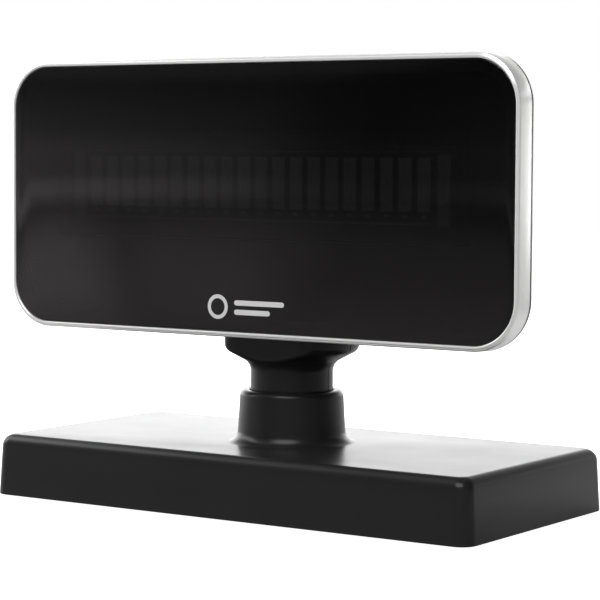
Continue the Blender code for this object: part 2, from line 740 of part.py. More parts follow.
def rear_sections(wall):
    """The rear cover's sections from rim to back. A row is depth, side inset, top inset and corner,
    the last three in millimetres."""
    rows = [
        (REAR_RIM, 0.1, 0.1, 18.2),
        (-22.8 * MM, 0.2, 0.15, 18.1),
        (-21.7 * MM, 1.1, 0.7, 17.8),
        (-16.0 * MM, 6.5, 1.6, 17.5),
        (-8.0 * MM, 13.5, 2.8, 17.0),
        (0.0, 20.0, 4.2, 16.5),
        (4.0 * MM, 23.6, 5.8, 16.0),
        (6.8 * MM, 27.0, 8.6, 15.0),
        (REAR_BACK, 31.0, 12.6, 13.0),
    ]
    half_width = WINDOW_HALF_WIDTH + BEZEL_LIP + BEZEL_ROUND + BEZEL_FLARE
    half_height = WINDOW_HALF_HEIGHT + BEZEL_LIP + BEZEL_ROUND + BEZEL_FLARE
    if wall:
        rows = [(min(y, REAR_BACK - wall), dx, dz, corner) for y, dx, dz, corner in rows]
    return [
        on_axis(
            rounded_outline(
                half_width - dx * MM - wall,
                half_height - dz * MM - wall,
                corner * MM - 0.8 * wall,
            ),
            "Y",
            y,
            (0.0, HEAD_Z),
        )
        for y, dx, dz, corner in rows
    ]


def pocket_outline(clearance):
    """The pocket that the neck's barrel turns in, seen from the side and open at the bottom."""
    radius = BARREL_RADIUS + clearance
    return [
        (TILT_Y - radius, 50 * MM),
        *arc(TILT_Y, TILT_Z, radius, 180, 0, 20),
        (TILT_Y + radius, 50 * MM),
    ]


def rear_cover():
    cover = loft("rear_cover", rear_sections(0.0), BLACK_PLASTIC)
    hollow_loops = rear_sections(REAR_WALL)
    hollow_loops[0] = [Vector((p.x, REAR_RIM - 2 * MM, p.z)) for p in hollow_loops[1]]
    hollow = loft("rear_hollow", hollow_loops, BLACK_PLASTIC)
    wall_half = POCKET_HALF_WIDTH + POCKET_WALL
    pocket_walls = extruded(
        "pocket_walls", pocket_outline(POCKET_CLEARANCE + POCKET_WALL), "X", -wall_half, wall_half
    )
    cut(hollow, pocket_walls)
    for number, place in enumerate(REAR_SCREWS):
        boss = [(4.4 * MM, -11.8 * MM), (4.4 * MM, REAR_BACK + MM)]
        cut(hollow, turned(f"rear_boss_{number}", boss, BLACK_PLASTIC, place, "Y", 12))
    cut(cover, hollow)
    pocket = extruded(
        "pocket", pocket_outline(POCKET_CLEARANCE), "X", -POCKET_HALF_WIDTH, POCKET_HALF_WIDTH
    )
    cut(cover, pocket)
    for number, place in enumerate(REAR_SCREWS):
        through = [
            (1.7 * MM, -13 * MM),
            (1.7 * MM, -2 * MM),
            (3.3 * MM, -2 * MM),
            (3.3 * MM, REAR_BACK + 2 * MM),
        ]
        cut(cover, turned(f"rear_screw_hole_{number}", through, BLACK_PLASTIC, place, "Y", 12))
    pin_hole = [(PIN_RADIUS + 0.3 * MM, -29 * MM), (PIN_RADIUS + 0.3 * MM, 29 * MM)]
    cut(cover, turned("pin_holes", pin_hole, BLACK_PLASTIC, (TILT_Y, TILT_Z), "X", 20))
    cut(cover, box("lead_slot", (-4 * MM, -6 * MM, 93 * MM), (4 * MM, 4.4 * MM, 103 * MM)))
    for number, x in enumerate(vent_places()):
        slot = extruded(
            f"vent_{number}",
            [(x + a, HEAD_Z + 15 * MM + b) for a, b in rounded_outline(0.9 * MM, 7 * MM, 0.6 * MM, 1)],
            "Y",
            2 * MM,
            REAR_BACK + 2 * MM,
        )
        cut(cover, slot)
    return cover


def vent_places():
    count, pitch = 15, 5.2 * MM
    return [(i - (count - 1) / 2) * pitch for i in range(count)]


def character_tube():
    """The vacuum tube: a glass lid on a glass plate, with the character block between them."""
    wall, lid_front = 2.0 * MM, 1.2 * MM
    lid_back = TUBE_FRONT + 5.2 * MM
    low_z, high_z = TUBE_Z - TUBE_HALF_HEIGHT, TUBE_Z + TUBE_HALF_HEIGHT
    lid = box(
        "tube_lid",
        (-TUBE_HALF_WIDTH, TUBE_FRONT, low_z),
        (TUBE_HALF_WIDTH, lid_back, high_z),
        TUBE_GLASS,
    )
    inside = box(
        "tube_inside",
        (-TUBE_HALF_WIDTH + wall, TUBE_FRONT + lid_front, low_z + wall),
        (TUBE_HALF_WIDTH - wall, lid_back + MM, high_z - wall),
    )
    cut(lid, inside)
    plate_front, plate_back = lid_back + GAP, lid_back + 2.6 * MM
    box(
        "tube_plate",
        (-TUBE_HALF_WIDTH, plate_front, low_z),
        (TUBE_HALF_WIDTH, plate_back, high_z),
        TUBE_GLASS,
    )
    box(
        "character_block",
        (-84 * MM, TUBE_FRONT + 2.4 * MM, 104.5 * MM),
        (84 * MM, plate_front - GAP, 134.5 * MM),
        PHOSPHOR,
    )
    tube_leads(plate_front + 0.6 * MM, low_z)


def tube_leads(front, edge):
    """A comb of lead wires from the tube's lower edge back to the board."""
    count, pitch, width = 32, 5.0 * MM, 1.0 * MM
    back, bar = BOARD_FRONT - GAP, front + 1.2 * MM
    start = -(count - 1) / 2 * pitch
    outline = [(start - width / 2, front)]
    for tooth in range(count):
        x = start + tooth * pitch
        outline += [(x - width / 2, back), (x + width / 2, back)]
        if tooth < count - 1:
            outline += [(x + width / 2, bar), (x + pitch - width / 2, bar)]
    outline.append((-start + width / 2, front))
    extruded("tube_leads", outline, "Z", edge - 1.0 * MM, edge - 0.4 * MM, STEEL)


def driver_board():
    board = box(
        "driver_board",
        (-BOARD_HALF_WIDTH, BOARD_FRONT, BOARD_LOW),
        (BOARD_HALF_WIDTH, BOARD_BACK, BOARD_HIGH),
        CIRCUIT_BOARD,
    )
    for number, place in enumerate(BOARD_SCREWS, start=1):
        hole = [(1.4 * MM, BOARD_FRONT - MM), (1.4 * MM, BOARD_BACK + MM)]
        cut(board, turned(f"board_hole_{number}", hole, STEEL, place, "Y", 12))
        screw(f"board_screw_{number}", place, "Y", BOARD_BACK + 0.02 * MM, -22 * MM, 2.2 * MM, 1.05 * MM)
    top = BOARD_BACK + GAP
    box("controller_chip", (-42 * MM, top, 116 * MM), (-28 * MM, top + 1.6 * MM, 130 * MM), CHIP)
    box("board_connector", (-6 * MM, top, 105 * MM), (6 * MM, -7.8 * MM, 111 * MM), CONNECTOR)
    transformer(top)
    for number, z in enumerate((113 * MM, 124 * MM), start=1):
        can = [(4.0 * MM, top), (4.0 * MM, -5.2 * MM), (3.5 * MM, -4.8 * MM)]
        turned(f"filter_capacitor_{number}", can, CAPACITOR, (58 * MM, z), "Y", 20)


def transformer(top):
    """The converter's transformer: a waisted ferrite bobbin."""
    centre = (36 * MM, 119 * MM)
    bobbin = [
        (7.0 * MM, top),
        (7.0 * MM, top + 1.5 * MM),
        (4.6 * MM, top + 1.5 * MM),
        (4.6 * MM, top + 6.0 * MM),
        (7.0 * MM, top + 6.0 * MM),
        (7.0 * MM, top + 7.5 * MM),
    ]
    turned("converter_transformer", bobbin, CHIP, centre, "Y", 20)


def tilt_bracket():
    """A steel channel on the front frame. Its ears hold the tilt pins beside the pocket."""
    wing = 40 * MM
    bracket = box(
        "tilt_bracket",
        (-wing, BRACKET_FRONT, TILT_Z - 6 * MM),
        (wing, BRACKET_BACK, TILT_Z + 8 * MM),
        BLACK_STEEL,
    )
    ear = [
        (BRACKET_FRONT + 0.5 * MM, TILT_Z - 5.2 * MM),
        *arc(TILT_Y, TILT_Z, 5.2 * MM, -90, 90, 10),
        (BRACKET_FRONT + 0.5 * MM, TILT_Z + 5.2 * MM),
    ]
    for side in (-1, 1):
        low, high = sorted((side * 28.6 * MM, side * 30.5 * MM))
        join(bracket, extruded(f"ear_{side}", ear, "X", low, high))
    hole_radius = PIN_RADIUS - 0.5 * MM
    ear_holes = [(hole_radius, -33 * MM), (hole_radius, 33 * MM)]
    cut(bracket, turned("ear_holes", ear_holes, STEEL, (TILT_Y, TILT_Z), "X", 20))
    for (_, name), place in zip(SIDES, BRACKET_SCREWS):
        hole = [(1.7 * MM, BRACKET_FRONT - MM), (1.7 * MM, BRACKET_BACK + MM)]
        cut(bracket, turned(f"bracket_hole_{name}", hole, STEEL, place, "Y", 12))
        seat = BRACKET_BACK + 0.02 * MM
        screw(f"bracket_screw_{name}", place, "Y", seat, -27.3 * MM, 2.7 * MM, 1.3 * MM)


def tilt_pins():
    """Two stepped pins in the bracket's ears, each with a nut on its thin end."""
    centre = (TILT_Y, TILT_Z)
    thin = PIN_RADIUS - 0.6 * MM
    for side, name in SIDES:
        profile = [
            (PIN_RADIUS - 0.5 * MM, side * 19.0 * MM),
            (PIN_RADIUS, side * 19.5 * MM),
            (PIN_RADIUS, side * 28.4 * MM),
            (thin, side * 28.4 * MM),
            (thin, side * 34.0 * MM),
        ]
        turned(f"tilt_pin_{name}", profile, STEEL, centre, "X", 24)
        nut(f"tilt_nut_{name}", centre, side * 30.7 * MM, side * 33.2 * MM, thin + 0.1 * MM)


def nut(name, centre, start, end, bore):
    """A hexagon nut along X."""
    steps_per_side = 3
    hole = circle_outline(bore, 6 * steps_per_side)
    outside = hexagon_outline(NUT_RADIUS, steps_per_side)
    section = ((hole, start), (outside, start), (outside, end), (hole, end))
    loft(name, [on_axis(outline, "X", s, centre) for outline, s in section], STEEL, ring=True)


def hexagon_outline(radius, steps_per_side):
    """Points along the sides of a hexagon of that corner radius, its corners among them."""
    corners = [Vector(corner) for corner in circle_outline(radius, 6)]
    points = []
    for corner, following in zip(corners, corners[1:] + corners[:1]):
        points += [tuple(corner.lerp(following, step / steps_per_side)) for step in range(steps_per_side)]
    return points


def rear_cover_screws():
    for number, place in enumerate(REAR_SCREWS, start=1):
        screw(f"rear_cover_screw_{number}", place, "Y", -1.98 * MM, -20 * MM, 2.8 * MM, 1.35 * MM)


# ---- assembly ------------------------------------------------------------------------------------
def pivot(name, place, parent=None):
    """An empty on a joint's axis."""
    empty = bpy.data.objects.new(name, None)
    empty.empty_display_size = 20 * MM
    empty.matrix_world = Matrix.Translation(place)
    bpy.context.scene.collection.objects.link(empty)
    if parent:
        hang(empty, parent)
    return empty


def hang(obj, parent):
    """Parent an object to a pivot and leave it where it is."""
    obj.parent = parent
    obj.matrix_parent_inverse = parent.matrix_world.inverted()


def build_on(parent, build):
    """Build a body's pieces and hang them, with their cutters, on its pivot."""
    earlier = list(bpy.data.objects)
    build()
    for obj in bpy.data.objects:
        if obj not in earlier:
            hang(obj, parent)


def build_base():
    base_cover()
    base_plate()
    feet()
    for side, name in SIDES:
        ballast(side, name)
    base_screws()
    interface_board()
    thrust_washer()
    lead_plug()


def build_neck():
    neck_shell("neck_front_shell", front=True)
    neck_shell("neck_rear_shell", front=False)
    swivel_retainer()
    neck_screws()
    tilt_bushes()
    signal_lead()


def build_head():
    front_lens()
    bezel()
    lens_gasket()
    front_frame()
    rear_cover()
    character_tube()
    driver_board()
    tilt_bracket()
    tilt_pins()
    rear_cover_screws()


clear_scene()
build_base()
swivel_axis = pivot("swivel_axis", (0.0, SWIVEL_Y, WEB_HIGH))
build_on(swivel_axis, build_neck)
tilt_axis = pivot("tilt_axis", (0.0, TILT_Y, TILT_Z), swivel_axis)
build_on(tilt_axis, build_head)
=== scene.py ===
"""Looks of the customer pole display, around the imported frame. Metres, +Z up, front to -Y."""

import json
import math

import bmesh
import bpy
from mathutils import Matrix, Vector

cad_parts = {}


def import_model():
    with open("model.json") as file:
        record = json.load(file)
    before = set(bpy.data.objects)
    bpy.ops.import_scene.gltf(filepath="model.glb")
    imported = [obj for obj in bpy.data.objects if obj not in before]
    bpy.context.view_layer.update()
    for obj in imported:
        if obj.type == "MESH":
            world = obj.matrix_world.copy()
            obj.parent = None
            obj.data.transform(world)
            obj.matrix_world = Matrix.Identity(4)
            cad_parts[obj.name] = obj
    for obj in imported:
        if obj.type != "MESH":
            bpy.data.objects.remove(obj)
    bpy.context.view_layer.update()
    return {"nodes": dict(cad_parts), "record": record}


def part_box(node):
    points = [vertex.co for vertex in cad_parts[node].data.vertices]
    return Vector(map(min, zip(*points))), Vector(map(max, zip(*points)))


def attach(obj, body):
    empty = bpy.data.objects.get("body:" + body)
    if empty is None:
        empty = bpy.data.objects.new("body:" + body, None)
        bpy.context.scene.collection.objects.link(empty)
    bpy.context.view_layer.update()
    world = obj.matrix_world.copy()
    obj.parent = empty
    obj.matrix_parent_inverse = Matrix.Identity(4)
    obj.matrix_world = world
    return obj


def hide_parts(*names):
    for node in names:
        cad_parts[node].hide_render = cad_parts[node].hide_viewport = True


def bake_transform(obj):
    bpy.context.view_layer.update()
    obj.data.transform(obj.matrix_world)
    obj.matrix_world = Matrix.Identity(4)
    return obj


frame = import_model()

MM = 0.001
nodes = frame["nodes"]

# ---- sizes, read from the frame ------------------------------------------------------------------
BASE_LOW, BASE_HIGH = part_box("base_cover")
NECK_LOW, NECK_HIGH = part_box("neck_front_shell")
LENS_LOW, LENS_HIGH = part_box("front_lens")
BEZEL_LOW, BEZEL_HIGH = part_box("bezel")
REAR_LOW, REAR_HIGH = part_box("rear_cover")
PIN_LOW, PIN_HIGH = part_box("tilt_pin_right")
JACK_LOW, JACK_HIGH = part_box("data_jack")
BLOCK_LOW, BLOCK_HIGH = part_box("character_block")
WASHER_LOW, WASHER_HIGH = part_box("thrust_washer")

SWIVEL_Y = (WASHER_LOW.y + WASHER_HIGH.y) / 2
TILT_Y = (PIN_LOW.y + PIN_HIGH.y) / 2
TILT_Z = (PIN_LOW.z + PIN_HIGH.z) / 2
HEAD_Z = (LENS_LOW.z + LENS_HIGH.z) / 2
FACET_Y = NECK_LOW.y

# ---- tools ---------------------------------------------------------------------------------------
def rounded_outline(half_a, half_b, radius, steps=14):
    """Points of a rounded rectangle, counter-clockwise, as (a, b) pairs about its middle."""
    points = []
    for quarter, (sign_a, sign_b) in enumerate(((1, 1), (-1, 1), (-1, -1), (1, -1))):
        for step in range(steps + 1):
            angle = math.pi / 2 * (quarter + step / steps)
            a = sign_a * (half_a - radius) + radius * math.cos(angle)
            b = sign_b * (half_b - radius) + radius * math.sin(angle)
            points.append((a, b))
    return points


def circle_outline(radius, steps=128):
    """Points of a circle, as (a, b) pairs about its middle."""
    turns = [2 * math.pi * step / steps for step in range(steps)]
    return [(radius * math.cos(turn), radius * math.sin(turn)) for turn in turns]


def on_axis(outline, axis, position, centre=(0.0, 0.0)):
    """An (a, b) outline as 3D points in the plane across an axis, at a position along it."""
    if axis == "X":
        return [Vector((position, centre[0] + a, centre[1] + b)) for a, b in outline]
    if axis == "Y":
        return [Vector((centre[0] + a, position, centre[1] + b)) for a, b in outline]
    return [Vector((centre[0] + a, centre[1] + b, position)) for a, b in outline]


def add_object(name, mesh):
    """Makes an object of a bmesh, which it uses up."""
    data = bpy.data.meshes.new(name)
    mesh.to_mesh(data)
    mesh.free()
    obj = bpy.data.objects.new(name, data)
    bpy.context.scene.collection.objects.link(obj)
    return obj


def loft(name, loops, ring=False):
    """A solid through loops of equally many points. A ring joins the last loop to the first,
    else the ends are capped."""
    mesh = bmesh.new()
    rows = [[mesh.verts.new(point) for point in loop] for loop in loops]
    pairs = list(zip(rows, rows[1:]))
    if ring:
        pairs.append((rows[-1], rows[0]))
    else:
        mesh.faces.new(rows[0])
        mesh.faces.new(rows[-1])
    for low, high in pairs:
        for i in range(len(low)):
            j = (i + 1) % len(low)
            mesh.faces.new((low[i], low[j], high[j], high[i]))
    bmesh.ops.recalc_face_normals(mesh, faces=mesh.faces)
    return add_object(name, mesh)


def turned(name, profile, centre, axis="Z", steps=128, ring=False):
    """A body of revolution from (radius, position along the axis) pairs."""
    loops = [on_axis(circle_outline(r, steps), axis, s, centre) for r, s in profile]
    return loft(name, loops, ring)


def box(name, low, high):
    """A block between two opposite corners."""
    corners = [(low[0], low[1]), (high[0], low[1]), (high[0], high[1]), (low[0], high[1])]
    return loft(name, [[Vector((x, y, z)) for x, y in corners] for z in (low[2], high[2])])


def extruded(name, outline, axis, start, end):
    """An outline in the frame's coordinates, extruded along the axis across it."""
    return loft(name, [on_axis(outline, axis, s) for s in (start, end)])


def arc(centre_a, centre_b, radius, start_deg, end_deg, steps):
    """Points on an arc, both ends included."""
    angles = [math.radians(start_deg + (end_deg - start_deg) * i / steps) for i in range(steps + 1)]
    return [(centre_a + radius * math.cos(t), centre_b + radius * math.sin(t)) for t in angles]


def combine(target, operation, *others):
    """Applies a Boolean of each of the others to the target, and removes them."""
    for other in others:
        modifier = target.modifiers.new(operation, "BOOLEAN")
        modifier.operation = operation
        modifier.solver = "EXACT"
        modifier.object = other
        apply_modifiers(target)
        bpy.data.objects.remove(other)
    return target


def cut(target, *others):
    return combine(target, "DIFFERENCE", *others)


def join(target, *others):
    return combine(target, "UNION", *others)


def keep(target, *others):
    return combine(target, "INTERSECT", *others)


def apply_modifiers(obj):
    bpy.context.view_layer.update()
    evaluated = obj.evaluated_get(bpy.context.evaluated_depsgraph_get())
    data = bpy.data.meshes.new_from_object(evaluated)
    obj.modifiers.clear()
    obj.data = data


def smooth(obj, angle):
    """Smooth shading, with edges sharp from this angle in degrees."""
    obj.data.shade_smooth()
    obj.data.set_sharp_from_angle(angle=math.radians(angle))


def grey_ramp(tree, value, stops):
    """Turns a value from 0 to 1 into grey levels, from (position, level) pairs."""
    node = tree.nodes.new("ShaderNodeValToRGB")
    elements = node.color_ramp.elements
    while len(elements) < len(stops):
        elements.new(0.5)
    for element, (position, level) in zip(elements, stops):
        element.position = position
        element.color = (level, level, level, 1.0)
    tree.links.new(value, node.inputs["Fac"])
    return node.outputs["Color"]


def dress(obj, body, slot, material, *replaced):
    """Gives a piece its material and body, and hides the CAD nodes it stands for. Its slot is not
    used.
    """
    obj.data.materials.clear()
    obj.data.materials.append(material)
    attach(obj, body)
    if replaced:
        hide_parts(*replaced)
    return obj


# ---- materials -----------------------------------------------------------------------------------
class Finish:
    """A Principled material, with short calls for its detail nodes. Texture space is metres."""

    def __init__(self, name, colour, roughness, metallic=0.0):
        self.material = bpy.data.materials.new(name)
        self.material.use_nodes = True
        self.tree = self.material.node_tree
        self.shader = self.tree.nodes["Principled BSDF"]
        self.shader.inputs["Base Color"].default_value = (*colour, 1.0)
        self.shader.inputs["Roughness"].default_value = roughness
        self.shader.inputs["Metallic"].default_value = metallic
        self.place = self.tree.nodes.new("ShaderNodeTexCoord").outputs["Object"]
        self.colour = colour
        self.height = None

    def texture(self, kind, scale):
        """A texture node over the object's own space, scaled along each axis."""
        mapping = self.tree.nodes.new("ShaderNodeMapping")
        mapping.inputs["Scale"].default_value = scale
        self.tree.links.new(self.place, mapping.inputs["Vector"])
        texture = self.tree.nodes.new(kind)
        texture.inputs["Scale"].default_value = 1.0
        self.tree.links.new(mapping.outputs["Vector"], texture.inputs["Vector"])
        return texture

    def noise(self, size, detail=3.0, stretch=(1.0, 1.0, 1.0)):
        """Noise from 0 to 1 whose features are about this big, in metres."""
        texture = self.texture("ShaderNodeTexNoise", [s / size for s in stretch])
        texture.inputs["Detail"].default_value = detail
        return texture.outputs["Fac"]

    def cells(self, size):
        """Distance to the nearest of scattered points, 0 to about 1, with cells of this size."""
        return self.texture("ShaderNodeTexVoronoi", [1.0 / size] * 3).outputs["Distance"]

    def spread(self, value, low, high, from_low=0.3, from_high=0.7):
        """Maps a value's range to low..high. The default range is that of most noise."""
        mapped = self.tree.nodes.new("ShaderNodeMapRange")
        mapped.inputs["From Min"].default_value = from_low
        mapped.inputs["From Max"].default_value = from_high
        mapped.inputs["To Min"].default_value = low
        mapped.inputs["To Max"].default_value = high
        self.tree.links.new(value, mapped.inputs["Value"])
        return mapped.outputs["Result"]

    def vary_roughness(self, value, low, high):
        """Runs the roughness between two levels."""
        self.tree.links.new(self.spread(value, low, high), self.shader.inputs["Roughness"])

    def vary_colour(self, value, low, high):
        """Scales the base colour between two factors."""
        mix = self.tree.nodes.new("ShaderNodeMix")
        mix.data_type = "RGBA"
        mix.inputs["A"].default_value = (*[c * low for c in self.colour], 1.0)
        mix.inputs["B"].default_value = (*[c * high for c in self.colour], 1.0)
        self.tree.links.new(self.spread(value, 0.0, 1.0), mix.inputs["Factor"])
        self.tree.links.new(mix.outputs["Result"], self.shader.inputs["Base Color"])

    def relief(self, value, depth):
        """Adds a bump of this depth in metres, on top of those already there."""
        bump = self.tree.nodes.new("ShaderNodeBump")
        bump.inputs["Distance"].default_value = depth
        self.tree.links.new(value, bump.inputs["Height"])
        if self.height:
            self.tree.links.new(self.height, bump.inputs["Normal"])
        self.height = bump.outputs["Normal"]
        self.tree.links.new(self.height, self.shader.inputs["Normal"])

    def set(self, **values):
        """Sets sockets of the shader by name, with _ for a space."""
        for name, value in values.items():
            self.shader.inputs[name.replace("_", " ")].default_value = value


def black_plastic():
    finish = Finish("black_plastic", (0.0125, 0.0125, 0.0127), 0.3)
    finish.vary_colour(finish.noise(0.03), 0.94, 1.06)
    finish.vary_roughness(finish.noise(0.02, 4.0), 0.29, 0.31)
    finish.relief(finish.noise(0.0004, 2.0), 0.000004)
    finish.set(IOR=1.29)
    return finish.material


def silver_paint():
    finish = Finish("silver_paint", (0.83, 0.83, 0.825), 0.26, 0.5)
    flakes = finish.cells(0.00025)
    finish.vary_colour(flakes, 0.98, 1.01)
    finish.vary_roughness(finish.noise(0.006, 4.0), 0.25, 0.27)
    finish.relief(flakes, 0.000001)
    return finish.material


def smoked_acrylic():
    finish = Finish("smoked_acrylic", (0.002, 0.002, 0.0022), 0.03)
    finish.vary_roughness(finish.noise(0.02, 5.0), 0.02, 0.05)
    finish.relief(finish.noise(0.05, 1.0), 0.00001)
    finish.set(Alpha=0.66, Specular_Tint=(1.0, 0.92, 0.93, 1.0))
    return finish.material


def zinc_steel():
    finish = Finish("zinc_steel", (0.6, 0.6, 0.58), 0.33, 1.0)
    finish.vary_colour(finish.noise(0.002), 0.85, 1.05)
    finish.vary_roughness(finish.noise(0.0008, 5.0), 0.25, 0.45)
    finish.relief(finish.noise(0.0004), 0.00001)
    return finish.material


def black_steel():
    finish = Finish("black_steel", (0.03, 0.03, 0.031), 0.5)
    finish.vary_colour(finish.noise(0.004), 0.8, 1.2)
    finish.vary_roughness(finish.noise(0.0015, 5.0), 0.42, 0.58)
    finish.relief(finish.noise(0.0006), 0.00003)
    return finish.material


def cast_iron():
    finish = Finish("cast_iron", (0.11, 0.105, 0.1), 0.72, 0.7)
    finish.vary_colour(finish.noise(0.003, 6.0), 0.6, 1.3)
    finish.vary_roughness(finish.noise(0.002), 0.6, 0.85)
    finish.relief(finish.noise(0.0012, 6.0), 0.0002)
    return finish.material


def rubber():
    finish = Finish("rubber", (0.022, 0.022, 0.022), 0.85)
    finish.vary_colour(finish.noise(0.002), 0.8, 1.25)
    finish.vary_roughness(finish.noise(0.001), 0.78, 0.92)
    finish.relief(finish.noise(0.0005), 0.00003)
    return finish.material


def acetal():
    finish = Finish("acetal", (0.83, 0.82, 0.78), 0.42)
    finish.vary_colour(finish.noise(0.004), 0.95, 1.03)
    finish.vary_roughness(finish.noise(0.001), 0.36, 0.48)
    finish.relief(finish.noise(0.0006), 0.00001)
    return finish.material


def tube_glass():
    finish = Finish("tube_glass", (0.05, 0.055, 0.055), 0.04)
    finish.vary_roughness(finish.noise(0.01), 0.03, 0.07)
    finish.relief(finish.noise(0.02), 0.00001)
    finish.set(Alpha=0.1)
    return finish.material


def phosphor():
    finish = Finish("phosphor", (0.5, 0.52, 0.51), 0.6)
    finish.vary_colour(finish.noise(0.0015), 0.85, 1.12)
    finish.vary_roughness(finish.noise(0.001), 0.5, 0.7)
    finish.relief(finish.noise(0.0003), 0.00002)
    return finish.material


def dark_ceramic():
    finish = Finish("dark_ceramic", (0.012, 0.0125, 0.013), 0.6)
    finish.vary_colour(finish.noise(0.002), 0.85, 1.15)
    finish.vary_roughness(finish.noise(0.001), 0.5, 0.7)
    finish.relief(finish.noise(0.0004), 0.00002)
    return finish.material


def grid_steel():
    finish = Finish("grid_steel", (0.34, 0.34, 0.34), 0.5)
    finish.vary_colour(finish.noise(0.002), 0.85, 1.12)
    finish.vary_roughness(finish.noise(0.001), 0.42, 0.6)
    finish.relief(finish.noise(0.0003), 0.00001)
    return finish.material


def circuit_board():
    finish = Finish("circuit_board", (0.012, 0.13, 0.05), 0.42)
    tracks = finish.noise(0.0025, 0.0, stretch=(0.25, 1.0, 1.0))
    finish.vary_colour(tracks, 0.75, 1.35)
    finish.vary_roughness(finish.noise(0.001), 0.36, 0.5)
    finish.relief(tracks, 0.00004)
    return finish.material


def chip_epoxy():
    finish = Finish("chip_epoxy", (0.022, 0.022, 0.025), 0.55)
    finish.vary_colour(finish.noise(0.0008), 0.85, 1.2)
    finish.vary_roughness(finish.noise(0.0006), 0.5, 0.65)
    finish.relief(finish.noise(0.0003), 0.00001)
    return finish.material


def capacitor_sleeve():
    finish = Finish("capacitor_sleeve", (0.03, 0.045, 0.12), 0.35)
    finish.vary_colour(finish.noise(0.003), 0.9, 1.15)
    finish.vary_roughness(finish.noise(0.001), 0.3, 0.42)
    finish.relief(finish.noise(0.002), 0.00002)
    return finish.material


def foam():
    finish = Finish("foam", (0.04, 0.04, 0.04), 0.95)
    pores = finish.cells(0.0006)
    finish.vary_colour(pores, 0.6, 1.3)
    finish.vary_roughness(finish.noise(0.001), 0.9, 1.0)
    finish.relief(pores, 0.0002)
    return finish.material


def connector_nylon():
    finish = Finish("connector_nylon", (0.76, 0.74, 0.67), 0.5)
    finish.vary_colour(finish.noise(0.002), 0.94, 1.04)
    finish.vary_roughness(finish.noise(0.001), 0.44, 0.56)
    finish.relief(finish.noise(0.0005), 0.00001)
    return finish.material


def cable_pvc():
    finish = Finish("cable_pvc", (0.03, 0.03, 0.032), 0.5)
    finish.vary_colour(finish.noise(0.004), 0.9, 1.15)
    finish.vary_roughness(finish.noise(0.001), 0.42, 0.58)
    finish.relief(finish.noise(0.0008), 0.00002)
    return finish.material


def gold_contacts():
    finish = Finish("gold_contacts", (0.85, 0.6, 0.22), 0.25, 1.0)
    finish.vary_colour(finish.noise(0.002), 0.85, 1.05)
    finish.vary_roughness(finish.noise(0.0005), 0.2, 0.32)
    return finish.material


def white_print():
    finish = Finish("white_print", (0.62, 0.62, 0.615), 0.45)
    finish.vary_colour(finish.noise(0.0006), 0.94, 1.0)
    finish.vary_roughness(finish.noise(0.0005), 0.4, 0.52)
    return finish.material


MATERIALS = {
    maker.__name__: maker()
    for maker in (
        black_plastic, silver_paint, smoked_acrylic, zinc_steel, black_steel, cast_iron, rubber,
        acetal, tube_glass, phosphor, circuit_board, chip_epoxy, capacitor_sleeve, foam,
        connector_nylon, cable_pvc, gold_contacts, white_print, dark_ceramic, grid_steel,
    )
}


def dress_cad_nodes():
    """The CAD nodes that stay: welded, with softened edges, and their slot's material."""
    weld_distance, edge_width, edge_angle = 0.01 * MM, 0.1 * MM, math.radians(35)
    for part in frame["record"]["subparts"]:
        obj = nodes[part["node"]]
        obj.data.materials.clear()
        obj.data.materials.append(MATERIALS[part["material_slot"]])
        obj.data.shade_smooth()
        weld = obj.modifiers.new("weld", "WELD")
        weld.merge_threshold = weld_distance
        bevel = obj.modifiers.new("edges", "BEVEL")
        bevel.width = edge_width
        bevel.segments = 2
        bevel.limit_method = "ANGLE"
        bevel.angle_limit = edge_angle
        bevel.harden_normals = True


# ---- base ----------------------------------------------------------------------------------------
BASE_TOP = BASE_LOW.z + 23.0 * MM
BASE_DRAFT = 1.2 * MM
BASE_CORNER = 5.8 * MM
BASE_EDGE = 4.0 * MM
BASE_WALL = 2.5 * MM
COLLAR_TOP_RADIUS = 19.4 * MM
COLLAR_FOOT_RADIUS = 20.15 * MM
COLLAR_TOP_ROUND = 2.2 * MM
COLLAR_FOOT_ROUND = 4.5 * MM
SOCKET_RADIUS = 15.8 * MM
WEB_HOLE = 12.35 * MM
WEB_LOW = BASE_TOP - 2.5 * MM
WEB_HIGH = BASE_TOP + 0.5 * MM


def base_section(z, inset):
    """The base's outline at a height, leaned in by the draft there and drawn in by an inset."""
    half_width = (BASE_HIGH.x - BASE_LOW.x) / 2
    half_depth = (BASE_HIGH.y - BASE_LOW.y) / 2
    shrink = BASE_DRAFT * (z - BASE_LOW.z) / (BASE_TOP - BASE_LOW.z) + inset
    least_corner = 1.5 * MM
    corner = max(BASE_CORNER - 0.5 * shrink, least_corner)
    return on_axis(rounded_outline(half_width - shrink, half_depth - shrink, corner), "Z", z)


